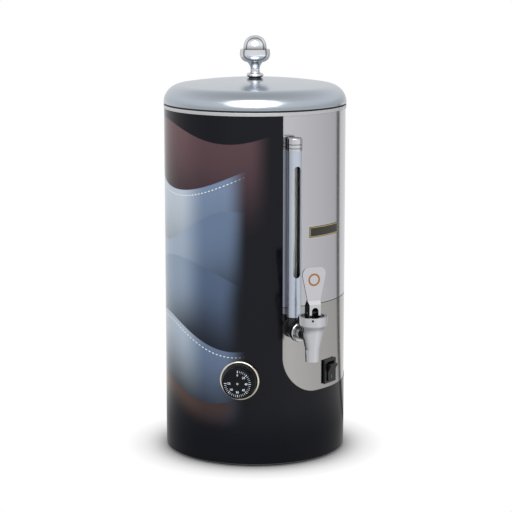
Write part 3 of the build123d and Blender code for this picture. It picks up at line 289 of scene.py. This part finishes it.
# Stainless sheet as rolled: bright but not a mirror, faint grain along the rolling direction, round the urn.
# The real grain is finer than a pixel, so it is drawn a little coarser. The lower casing is a duller sheet,
# and the vessels inside are pickled after welding, so matt
sheet = {"grainSize": Vector((60, 60, 1.1)) * mm, "grainFine": 0.6, "grainStrength": 0.012,
         "grainDeep": 0.05 * mm, "gapShadeLevel": 0.2, "gapShadeReach": 4 * mm, "gapShadeSpan": (0.4, 0.8)}
sheetBatches = [  # material, two tones, roughness, metallic, nodes
    ("rolledStainless", "#bab9be", "#c0bfc4", (0.104, 0.1625), 1.0,
     ["upper_casing", "base_lip", "base_plate", "boiler_vessel", "control_can", "control_probe",
      "control_shaft", "probe_boss", "gauge_stud"]),
    ("rolledStainlessDull", "#a6a4a2", "#adabaa", (0.104, 0.1625), 1.0, ["lower_casing"]),
    ("pickledStainless", "#b9b9bb", "#c6c6c8", (0.288, 0.45), 0.7,
     ["coffee_tank", "boiler_cover", "riser_tube", "basket_collar", "filter_basket", "spray_head"]),
]


def shadeGrime(tree, tone):
    # painted shade: darkens the colour in the narrow gap under the lid and round the fittings, where shade
    # falls
    clean = addOpenness(tree, sheet["gapShadeReach"], sheet["gapShadeSpan"], (sheet["gapShadeLevel"], 1.0))
    return mixTones(tree, 1.0, tone, clean, blend_type="MULTIPLY")


for name, dark, light, roughness, metallic, nodeNames in sheetBatches:
    stainless, tree, shader, place = newMaterial(name)
    spread = addNode(tree, "Mapping", {"Vector": place, "Scale": [1 / size for size in sheet["grainSize"]]})
    grain = addNode(tree, "TexNoise", {"Vector": spread, "Scale": 1.0, "Detail": fineDetail,
                                       "Roughness": sheet["grainFine"]})
    feedSockets(tree, shader, {
        # painted shade in the gaps under the lid and round the fittings
        "Base Color": shadeGrime(tree, mixTones(tree, grain, dark, light)),
        "Roughness": mapRange(tree, grain, noiseSpan, roughness),
        "Normal": addBump(tree, grain, sheet["grainStrength"], sheet["grainDeep"]),
        "Metallic": metallic,
    })
    dress(stainless, *nodeNames)

# Spun lid: satin rings left by the polishing mop, so the highlight spreads across the rings
lidLook = {"colour": "#bbc2cb", "dark": "#b1b9c3", "roughness": (0.18, 0.23), "anisotropy": 0.4,
           "ring": 0.9 * mm, "ringStrength": 0.04, "ringDeep": 0.05 * mm}
satin, tree, shader, place = newMaterial("spunSatinSteel")
turns = doMath(tree, "MULTIPLY", flatReach(tree, place), 1 / lidLook["ring"])
rings = addNode(tree, "TexNoise", {"W": turns, "Scale": 1.0, "Detail": fineDetail}, noise_dimensions="1D")
feedSockets(tree, shader, {
    # painted shade in the gap at the lid's rim
    "Base Color": shadeGrime(tree, mixTones(tree, rings, lidLook["dark"], lidLook["colour"])),
    "Roughness": mapRange(tree, rings, noiseSpan, lidLook["roughness"]),
    "Normal": addBump(tree, rings, lidLook["ringStrength"], lidLook["ringDeep"]),
    "Tangent": addNode(tree, "Tangent", direction_type="RADIAL", axis="Z"),
    "Metallic": 1.0,
    "Anisotropic": lidLook["anisotropy"],
})
dress(satin, "lid_dome")

# Chrome plate: a mirror with very slight waviness of the polished brass under it, its colour darkened in
# crevices as painted shade. Its colour also falls off in bands towards the outline, a painted reflection of
# the edges of a light tent
plating = {"wave": 9 * mm, "waveStrength": 0.03, "waveDeep": 0.3 * mm, "roughness": (0.042, 0.09),
           "blend": 0.5, "creviceReach": 6 * mm, "creviceSpan": (0.45, 0.9)}
platingBatches = [  # material, colour, painted shade colour in crevices, painted reflection brightness from facing to edge on, nodes
    ("chromePlate", "#d0d1d5", "#55565a",
     [(0.0, 1.0), (0.3, 0.96), (0.36, 0.3), (0.41, 0.34),
      (0.5, 0.8), (0.72, 0.74), (0.8, 0.36), (1.0, 0.5)],
     ["union_nut", "gauge_cap"]),
    ("chromePlateTap", "#c8c9cd", "#919297",
     [(0.0, 1.0), (0.3, 0.98), (0.5, 0.94), (0.72, 0.84), (0.88, 0.55), (1.0, 0.5)],
     ["tap_body"]),
    ("chromePlateKnob", "#f1f4fa", "#55565a",
     [(0.0, 1.0), (0.25, 1.0), (0.31, 0.2), (0.34, 0.24),
      (0.42, 0.85), (0.66, 0.75), (0.78, 0.25), (1.0, 0.45)],
     ["lid_knob"]),
]


def waveBump(tree, place):
    waves = addNoise(tree, place, plating["wave"])
    bump = addBump(tree, waves, plating["waveStrength"], plating["waveDeep"])
    return waves, bump


for name, colour, crevice, bands, nodeNames in platingBatches:
    chrome, tree, shader, place = newMaterial(name)
    # painted reflection: the colour darkens in bands by facing angle
    edgeOn = addNode(tree, "LayerWeight", {"Blend": plating["blend"]}).outputs["Facing"]
    shine = addNode(tree, "ValToRGB", {0: edgeOn})
    setStops(shine.color_ramp, bands)
    # painted shade: the colour darkens in crevices
    clean = addOpenness(tree, plating["creviceReach"], plating["creviceSpan"])
    base = mixTones(tree, clean, crevice, colour)
    waves, bump = waveBump(tree, place)
    feedSockets(tree, shader, {
        "Base Color": mixTones(tree, 1.0, base, shine, blend_type="MULTIPLY"),
        "Roughness": mapRange(tree, waves, noiseSpan, plating["roughness"]),
        "Normal": bump,
        "Metallic": 1.0,
    })
    dress(chrome, *nodeNames)

# Satin stainless tube of the gauge's guard: drawn lengthways, so the streaks run up and down; inside, a
# painted shade runs from light at one side to dark at the other
tube = {"colour": "#ccd4e2", "dark": "#c0c8d6", "insideLight": "#c8c8c6", "insideDark": "#7e7e7c",
        "insideSpan": (1.5 * mm, 5.5 * mm), "axis": 119.85 * mm, "wallMiddle": 7.7 * mm,
        "roughness": (0.2805, 0.396), "streakSize": Vector((0.8, 0.8, 70)) * mm}
drawnTube, tree, shader, place = newMaterial("satinDrawnTube")
spread = addNode(tree, "Mapping", {"Vector": place, "Scale": [1 / size for size in tube["streakSize"]]})
streak = addNode(tree, "TexNoise", {"Vector": spread, "Scale": 1.0, "Detail": fineDetail})
shifted = addNode(tree, "VectorMath", {0: place, 1: (0.0, tube["axis"], 0.0)}, operation="ADD")
inner = doMath(tree, "LESS_THAN", flatReach(tree, shifted), tube["wallMiddle"])
across = addNode(tree, "SeparateXYZ", {0: place}).outputs["X"]
# painted shade inside the tube, darker across towards one side
shade = mapRange(tree, across, tube["insideSpan"])
lining = mixTones(tree, shade, tube["insideLight"], tube["insideDark"])
outer = mixTones(tree, streak, tube["dark"], tube["colour"])
feedSockets(tree, shader, {
    "Base Color": mixTones(tree, inner, outer, lining),
    "Roughness": mapRange(tree, streak, noiseSpan, tube["roughness"]),
    "Metallic": 1.0,
})
dress(drawnTube, "gauge_guard")

# The lever's plate: the same chrome, with a painted highlight along the bend where its face turns upward, and
# one plain printed ring on its face
mark = {"plate": "#c2c2c7", "bend": "#fcfdff", "bendSpan": (0.35, 0.55), "colour": "#8f5f28",
        "middle": 238 * mm, "outer": 7.3 * mm, "inner": 5.2 * mm, "frontFace": -0.6,
        "roughness": (0.096, 0.42)}
leverChrome, tree, shader, place = newMaterial("chromePlatePrinted")
axes = addNode(tree, "SeparateXYZ", {0: place})
up = doMath(tree, "SUBTRACT", axes.outputs["Z"], mark["middle"])
spot = addNode(tree, "CombineXYZ", {"X": axes.outputs["X"], "Y": up})
reach = addNode(tree, "VectorMath", {0: spot}, operation="LENGTH").outputs["Value"]
inside = doMath(tree, "LESS_THAN", reach, mark["outer"])
outside = doMath(tree, "GREATER_THAN", reach, mark["inner"])
faces = addNode(tree, "SeparateXYZ", {0: addNode(tree, "NewGeometry").outputs["Normal"]})
facing = doMath(tree, "LESS_THAN", faces.outputs["Y"], mark["frontFace"])
ring = doMath(tree, "MULTIPLY", inside, outside)
printed = doMath(tree, "MULTIPLY", ring, facing)
# painted highlight: lighter where the face turns upward at the bend
bend = mapRange(tree, faces.outputs["Z"], mark["bendSpan"])
polish = mixTones(tree, bend, mark["plate"], mark["bend"])
waves, bump = waveBump(tree, place)
feedSockets(tree, shader, {
    "Base Color": mixTones(tree, printed, polish, mark["colour"]),
    "Metallic": doMath(tree, "SUBTRACT", 1.0, printed),
    "Roughness": mapRange(tree, printed, wholeSpan, mark["roughness"]),
    "Normal": bump,
})
dress(leverChrome, "lever_plate")

# Moulded phenolic: deep black, half gloss, fine grain from the mould
moulding = {"colour": "#0d0e11", "worn": "#15161a", "cloud": 14 * mm, "roughness": (0.187, 0.264),
            "grain": 0.7 * mm, "grainStrength": 0.12, "grainDeep": 0.05 * mm, "ior": 1.55, "specular": 0.4}
phenolic, tree, shader, place = newMaterial("mouldedPhenolic")
grain = addNoise(tree, place, moulding["grain"])
cloud = addNoise(tree, place, moulding["cloud"])
feedSockets(tree, shader, {
    "Base Color": mixTones(tree, cloud, moulding["colour"], moulding["worn"]),
    "Roughness": mapRange(tree, grain, noiseSpan, moulding["roughness"]),
    "Normal": addBump(tree, grain, moulding["grainStrength"], moulding["grainDeep"]),
    "IOR": moulding["ior"],
    "Specular IOR Level": moulding["specular"],
})
dress(phenolic, "tap_tee", "tap_bonnet", "tap_stem", "lever_core", "gland_body", "gland_cap", "gland_locknut",
      "thermostat", "thermal_cutout", "terminal_block")

# Borosilicate glass: clear and smooth, with a trace of handling haze
glassLook = {"colour": "#f8f9f9", "haze": 12 * mm, "hazeSpan": (0.4, 0.8), "roughness": (0.0, 0.01),
             "ior": 1.47}
glass, tree, shader, place = newMaterial("borosilicateGlass")
haze = addNoise(tree, place, glassLook["haze"])
feedSockets(tree, shader, {
    "Base Color": toLinear(glassLook["colour"]),
    "Roughness": mapRange(tree, haze, glassLook["hazeSpan"], glassLook["roughness"]),
    "Transmission Weight": 1.0,
    "IOR": glassLook["ior"],
})
dress(glass, "gauge_glass")

# Label: black stoved enamel with a gold rule inside its edge
labelLook = {"ground": "#1d1c1a", "gold": "#b9a24c", "radius": 110 * mm, "angle": 27.25, "height": 280 * mm,
             "halfLong": 26.6 * mm, "halfTall": 6.2 * mm, "inset": 0.9 * mm,
             "ruleSpan": (0.24 * mm, 0.36 * mm), "grain": 1.5 * mm, "roughness": (0.3, 0.4)}
enamel, tree, shader, place = newMaterial("stovedEnamel")
axes = addNode(tree, "SeparateXYZ", {0: place})
aside = doMath(tree, "SUBTRACT", angleRound(tree, axes), math.radians(labelLook["angle"]))
asideSize = doMath(tree, "ABSOLUTE", aside)
endGap = doMath(tree, "MULTIPLY_ADD", asideSize, -labelLook["radius"], labelLook["halfLong"])
rise = doMath(tree, "SUBTRACT", axes.outputs["Z"], labelLook["height"])
riseSize = doMath(tree, "ABSOLUTE", rise)
sideGap = doMath(tree, "SUBTRACT", labelLook["halfTall"], riseSize)
gap = doMath(tree, "MINIMUM", endGap, sideGap)
off = doMath(tree, "SUBTRACT", gap, labelLook["inset"])
away = doMath(tree, "ABSOLUTE", off)
rule = mapRange(tree, away, labelLook["ruleSpan"], falling)
grain = addNoise(tree, place, labelLook["grain"])
feedSockets(tree, shader, {
    "Base Color": mixTones(tree, rule, labelLook["ground"], labelLook["gold"]),
    "Roughness": mapRange(tree, grain, noiseSpan, labelLook["roughness"]),
})
dress(enamel, "label_plate")

# Bright zinc on small steel fixings, a spangle of slightly different greys
zincLook = {"colour": "#c3c7cc", "dark": "#a3a8ae", "roughness": (0.256, 0.384), "spangle": 1.5 * mm}
zinc, tree, shader, place = newMaterial("brightZinc")
spangle = addNode(tree, "TexVoronoi", {"Vector": place, "Scale": 1 / zincLook["spangle"]}).outputs["Distance"]
feedSockets(tree, shader, {
    "Base Color": mixTones(tree, spangle, zincLook["dark"], zincLook["colour"]),
    "Roughness": mapRange(tree, spangle, wholeSpan, zincLook["roughness"]),
    "Metallic": 1.0,
})
dress(zinc, "base_screws", "cover_bolts", "knob_screw", "gauge_stud_nut", "switch_terminals", "tap_spring",
      "lever_pin", "control_cap")

patchyBatches = [  # material, two tones, patch size, roughness, noise detail, other sockets, nodes
    # satin nickel on the ring round the knob: warmer and softer than chrome
    ("satinNickel", ("#e2dbcd", "#efe9dc"), 1.2 * mm, (0.088, 0.143), fineDetail, {"Metallic": 1.0},
     ["control_ring"]),
    # gloss ABS of the switch: shiny from a polished mould, faint flow marks
    ("glossAbs", ("#0a0b0c", "#101113"), 7 * mm, (0.16, 0.26), fineDetail,
     {"IOR": 1.53, "Specular IOR Level": 0.3}, ["switch_housing", "switch_rocker"]),
    # nitrile rubber: dull black with a bloom of paler dust
    ("nitrileRubber", ("#121213", "#1f1f20"), 6 * mm, (0.675, 0.825), richDetail, {},
     ["joint_band", "foot_ring", "boiler_gasket", "floor_gasket", "lid_gasket", "wall_seals", "valve_seal",
      "gauge_orings"]),
    # thermostat knob: moulded black, half matt so the scale shows without glare
    ("halfMattMoulding", ("#0b0c11", "#13151b"), 0.8 * mm, (0.342, 0.418), plainDetail,
     {"Specular IOR Level": 0.12}, ["control_knob"]),
    # turned brass, dulled in patches by steam
    ("turnedBrass", ("#9c7c45", "#c9a45a"), 5 * mm, (0.39, 0.24), richDetail, {"Metallic": 1.0},
     ["heater_nuts", "riser_nut", "back_nut"]),
    # heater sheath: nickel alloy blued and browned by heat
    ("heatedAlloy", ("#5b5450", "#4a4f5c"), 11 * mm, (0.357, 0.504), richDetail, {"Metallic": 1.0},
     ["heating_element"]),
]
for name, tones, patch, roughness, detail, fixed, nodeNames in patchyBatches:
    dress(patchyMaterial(name, tones, patch, roughness, noiseSpan, detail, fixed), *nodeNames)
print("materials dressed")

# Numbers and ticks clockwise from the top, printed on the knob's face in ink of uneven thickness
dial = {"angle": -31.5, "out": 132.4 * mm, "height": 107.5 * mm, "ink": 0.06 * mm, "step": 45, "numbers": 7,
        "perNumber": 20, "minors": 5, "tickOuter": 15.9 * mm, "majorLong": 2.9 * mm, "minorLong": 2.6 * mm,
        "majorWide": 0.75 * mm, "minorWide": 0.36 * mm, "numberReach": 10.3 * mm, "numberSize": 3.5 * mm,
        "numberBold": 0.05 * mm, "curveSteps": 3, "narrow": 0.75, "tones": ("#c3cdd8", "#dfe6ee"),
        "patch": 0.6 * mm, "roughness": (0.45, 0.55)}
whiteInk = patchyMaterial("whiteInk", dial["tones"], dial["patch"], dial["roughness"])
bm = bmesh.new()
lastTick = (dial["numbers"] - 1) * dial["minors"]
for tick in range(lastTick + 1):
    major = tick % dial["minors"] == 0
    turn = -math.radians(tick * dial["step"] / dial["minors"])
    long = dial["majorLong"] if major else dial["minorLong"]
    wide = dial["majorWide"] if major else dial["minorWide"]
    spot = Matrix.Translation((0, dial["tickOuter"] - long / 2, dial["ink"] / 2))
    size = Matrix.Diagonal((wide, long, dial["ink"], 1))
    bmesh.ops.create_cube(bm, size=1.0, matrix=Matrix.Rotation(turn, 4, "Z") @ spot @ size)
for number in range(dial["numbers"]):
    turn = math.radians(number * dial["step"])
    words = bpy.data.curves.new("dialNumber", "FONT")
    words.body = str(number * dial["perNumber"])
    words.size = dial["numberSize"]
    words.align_x = "CENTER"
    words.align_y = "CENTER"
    words.extrude = dial["ink"] / 2
    words.offset = dial["numberBold"]
    words.resolution_u = dial["curveSteps"]
    holder = bpy.data.objects.new("dialNumber", words)
    mesh = bpy.data.meshes.new_from_object(holder)
    spot = Vector((math.sin(turn), math.cos(turn), 0)) * dial["numberReach"]
    squeeze = dial["narrow"] if len(words.body) > 2 else 1.0  # three figures fit beside the ticks
    size = Matrix.Diagonal((squeeze, 1, 1, 1))
    mesh.transform(Matrix.Translation(spot + Vector((0, 0, dial["ink"] / 2))) @ size)
    bm.from_mesh(mesh)
    bpy.data.objects.remove(holder)
    bpy.data.curves.remove(words)
    bpy.data.meshes.remove(mesh)
bm.transform(wallSpot(dial["angle"], dial["out"], dial["height"]))
keepPiece(bm, "dialMarks", whiteInk, "knob")
print("knob marked")

# The on mark, pad printed low on the rocker's face, which leans back to the pivot; a little thin in places
onMark = {"angle": 31.5, "pivot": 108.5 * mm, "height": 107.5 * mm, "tilt": 12, "lean": -15.35,
          "down": -5.6 * mm, "out": 6.74 * mm, "wide": 1.2 * mm, "tall": 4.4 * mm, "ink": 0.08 * mm,
          "round": 0.54 * mm, "roundSteps": 5, "tones": ("#217d48", "#17703d"), "patch": 0.7 * mm,
          "roughness": (0.35, 0.5)}
greenInk = patchyMaterial("greenInk", onMark["tones"], onMark["patch"], onMark["roughness"])
bm = bmesh.new()
size = Matrix.Diagonal((onMark["wide"], onMark["tall"], onMark["ink"], 1))
bmesh.ops.create_cube(bm, size=1.0, matrix=size)
upright = [edge for edge in bm.edges if abs((edge.verts[0].co - edge.verts[1].co).z) > onMark["ink"] / 2]
bmesh.ops.bevel(bm, geom=upright, offset=onMark["round"], segments=onMark["roundSteps"], profile=0.5,
                affect="EDGES", material=-1)
tilted = Matrix.Rotation(math.radians(onMark["tilt"]), 4, "X")
leaning = Matrix.Rotation(math.radians(onMark["lean"]), 4, "X")
face = tilted @ Matrix.Translation((0, onMark["down"], onMark["out"])) @ leaning
bm.transform(wallSpot(onMark["angle"], onMark["pivot"], onMark["height"]) @ face)
keepPiece(bm, "switchOnMark", greenInk, "switch_rocker")
print("switch marked")

# Grub screw that holds the bonnet, sunk in the cup's side below the rim: oxide black, rubbed in places
grub = {"axis": 172 * mm, "around": -22.5, "radius": 1.3 * mm, "reach": 17.03 * mm, "height": 192.5 * mm,
        "proud": 0.5 * mm, "deep": 1.2 * mm, "socket": 0.7 * mm, "sunk": 0.4 * mm, "segments": 24,
        "upward": 0.9, "tones": ("#0c0d0f", "#1d1e21"), "patch": 0.9 * mm, "roughness": (0.4, 0.55)}
blackedSteel = patchyMaterial("blackedSteel", grub["tones"], grub["patch"], grub["roughness"])
bm = bmesh.new()
bmesh.ops.create_cone(bm, cap_ends=True, segments=grub["segments"], radius1=grub["radius"],
                      radius2=grub["radius"], depth=grub["deep"])
top = [face for face in bm.faces if face.normal.z > grub["upward"]]
bmesh.ops.inset_individual(bm, faces=top, thickness=grub["radius"] - grub["socket"])
for vert in top[0].verts:
    vert.co.z -= grub["sunk"]
bm.transform(Matrix.Translation((0, -grub["axis"], 0)) @ wallSpot(
    grub["around"], grub["reach"] + grub["proud"] - grub["deep"] / 2, grub["height"]))
keepPiece(bm, "grubScrew", blackedSteel, "urn")
print("screw set")

# Return spring: the same coil as in the CAD, rebuilt here as a piece of its own in place of the CAD's
coil = {"axis": 172 * mm, "radius": 4.4 * mm, "wire": 0.5 * mm, "turns": 6, "steps": 24, "sides": 10,
        "travel": 4.5 * mm}
low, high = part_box("tap_spring")
rise = high[2] - low[2] - 2 * coil["wire"]
lastStep = coil["turns"] * coil["steps"]
bm = bmesh.new()
rings = []
for step in range(lastStep + 1):
    turn = 2 * math.pi * step / coil["steps"]
    out = Vector((math.cos(turn), math.sin(turn), 0))
    lift = low[2] + coil["wire"] + rise * step / lastStep
    middle = Vector((0, -coil["axis"], lift)) + out * coil["radius"]
    ring = []
    for side in range(coil["sides"]):
        around = 2 * math.pi * side / coil["sides"]
        edge = out * math.cos(around) + Vector((0, 0, math.sin(around)))
        ring.append(bm.verts.new(middle + edge * coil["wire"]))
    rings.append(ring)
for first, second in zip(rings, rings[1:]):
    for side in range(coil["sides"]):
        after = (side + 1) % coil["sides"]
        bm.faces.new((first[side], first[after], second[after], second[side]))
bm.faces.new(rings[0])
bm.faces.new(rings[-1])
bmesh.ops.recalc_face_normals(bm, faces=bm.faces)
spring = keepPiece(bm, "returnSpring", zinc, "urn")
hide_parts("tap_spring")
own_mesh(spring)
print("spring coiled")


def standAt(name, data, azimuth, distance, height):
    turn = math.radians(azimuth)
    stand = bpy.data.objects.new(name, data)
    stand.location = (math.sin(turn) * distance, -math.cos(turn) * distance, height)
    bpy.context.scene.collection.objects.link(stand)
    return stand


# Camera at the photograph's height and distance, aimed at the urn's axis
shot = {"azimuth": -22.5, "distance": 2.207, "height": 0.6438, "pitch": 10.48, "lens": 128.6, "sensor": 36,
        "aside": -0.03}
camera = bpy.data.cameras.new("camera")
camera.lens = shot["lens"]
camera.sensor_width = shot["sensor"]
cameraObject = standAt("camera", camera, shot["azimuth"], shot["distance"], shot["height"])
turn = math.radians(shot["azimuth"] + shot["aside"])
cameraObject.rotation_euler = (math.radians(90 - shot["pitch"]), 0, turn)
bpy.context.scene.camera = cameraObject

# The room as metal, gloss and glass see it: brightness by degrees round the urn from the tap, right is plus.
# The spans are how far up a reflection points, as the height of a unit vector
room = {
    "floor": [(-180, 0.9), (-150, 0.86), (-120, 0.7), (-95, 0.65), (-82, 0.62), (-70, 0.68), (-55, 0.8),
              (-20, 0.86), (5, 0.9), (18, 1.0), (45, 0.89), (75, 0.79), (100, 0.68), (105, 0.12), (109, 0.12),
              (114, 0.9), (135, 0.85), (160, 0.85), (180, 0.9)],
    "horizon": [(-180, 0.85), (-140, 0.8), (-110, 0.62), (-40, 0.6), (30, 0.6), (110, 0.62), (140, 0.8),
                (180, 0.85)],
    "horizonSpan": (0.07, 0.3),
    "upperSpan": (0.5, 1.0),
    "upper": 0.9,
    "overhead": 0.6,
    "fill": 0.85,
}


def roomTone(tree, axes, stops):
    share = mapRange(tree, angleRound(tree, axes), (-math.pi, math.pi))
    walls = addNode(tree, "ValToRGB", {0: share})
    setStops(walls.color_ramp, [((degrees + 180) / 360, level) for degrees, level in stops])
    return walls


def seenStraight(tree, path):
    # by the camera, or through glass
    return doMath(tree, "MAXIMUM", path.outputs["Is Camera Ray"], path.outputs["Is Transmission Ray"])


# Floor: pale paper that runs into the white background; a painted contact shadow darkens it round the urn,
# besides the lamps' real shadows
floorLook = {"radius": 16.0, "segments": 96, "paper": "#bebebf", "whiteSpan": (101 * mm, 160 * mm),
             "crease": 0.3, "creaseReach": 32 * mm, "creaseSpan": (0.45, 1.0), "dimNear": 0.45,
             "nearSpan": (0.18, 0.4), "fibre": 3 * mm, "roughness": (0.85, 0.95)}
black = (0.0, 0.0, 0.0, 1.0)
bright = (1.0, 1.0, 1.0, 1.0)
bm = bmesh.new()
bmesh.ops.create_circle(bm, cap_ends=True, segments=floorLook["segments"], radius=floorLook["radius"])
mesh = bpy.data.meshes.new("floor")
bm.to_mesh(mesh)
bm.free()
floor = bpy.data.objects.new("floor", mesh)
bpy.context.scene.collection.objects.link(floor)
paper, tree, shader, place = newMaterial("whitePaper")
path = addNode(tree, "LightPath")
glossy = path.outputs["Is Glossy Ray"]
reach = addNode(tree, "VectorMath", {0: place}, operation="LENGTH").outputs["Value"]
far = mapRange(tree, reach, floorLook["whiteSpan"])
seenWhite = doMath(tree, "MULTIPLY", seenStraight(tree, path), far)
near = mapRange(tree, reach, floorLook["nearSpan"], (floorLook["dimNear"], 1.0), **smooth)
walls = roomTone(tree, addNode(tree, "SeparateXYZ", {0: place}), room["floor"])
wallShare = doMath(tree, "MULTIPLY", walls, near)
hidden = doMath(tree, "MAXIMUM", seenWhite, glossy)
fibre = addNoise(tree, place, floorLook["fibre"], fineDetail)
# painted shadow: the paper darkens in the corner where it meets the urn
shade = addOpenness(tree, floorLook["creaseReach"], floorLook["creaseSpan"], (floorLook["crease"], 1.0))
white = mixTones(tree, shade, black, floorLook["paper"])
feedSockets(tree, shader, {
    "Base Color": mixTones(tree, hidden, white, black),
    "Roughness": mapRange(tree, fibre, wholeSpan, floorLook["roughness"]),
    "Emission Strength": doMath(tree, "MULTIPLY_ADD", glossy, wallShare, seenWhite),
    "Emission Color": bright,
    "Specular IOR Level": 0.0,
})
floor.data.materials.append(paper)
floor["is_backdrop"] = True

# World: white to the camera and through glass, the room in reflections, a soft grey light elsewhere
world = bpy.data.worlds.new("studio")
bpy.context.scene.world = world
world.use_nodes = True
tree = world.node_tree
tree.nodes.clear()
path = addNode(tree, "LightPath")
axes = addNode(tree, "SeparateXYZ", {0: addNode(tree, "TexCoord").outputs["Generated"]})
lifted = mapRange(tree, axes.outputs["Z"], room["horizonSpan"])
above = mapRange(tree, axes.outputs["Z"], room["upperSpan"], (room["upper"], room["overhead"]))
wallShare = addNode(tree, "Mix", {0: lifted, 2: roomTone(tree, axes, room["horizon"]), 3: above})
fill = addNode(tree, "Mix", {0: path.outputs["Is Glossy Ray"], 2: room["fill"], 3: wallShare})
strength = addNode(tree, "Mix", {0: seenStraight(tree, path), 2: fill, 3: 1.0})
light = addNode(tree, "Background", {"Color": bright, "Strength": strength})
addNode(tree, "OutputWorld", {"Surface": light})

# Soft boxes: an oval one over the front that shows in the metal, three round the sides that don't
lampAim = Vector((0, 0, 0.25))
lamps = [  # name, azimuth, distance, height, width, depth, watts, shows in reflections
    ("overhead", -24, 1.9, 1.9, 2.85, 2.0, 36, True),
    ("leftSide", -95, 1.9, 1.0, 1.2, 1.2, 10, False),
    ("rightSide", 50, 2.0, 1.1, 1.2, 1.2, 6, False),
    ("behind", 157, 1.9, 1.7, 1.6, 1.6, 22, False),
]
for name, azimuth, distance, tall, wide, deep, watts, shows in lamps:
    lamp = bpy.data.lights.new(name, "AREA")
    lamp.energy = watts
    lamp.shape = "ELLIPSE"
    lamp.size = wide
    lamp.size_y = deep
    lampObject = standAt(name, lamp, azimuth, distance, tall)
    lampObject.rotation_euler = (lampAim - lampObject.location).to_track_quat("-Z", "Y").to_euler()
    lampObject.visible_glossy = shows
bpy.context.scene.view_settings.view_transform = "Standard"
print("studio lit")

low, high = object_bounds()
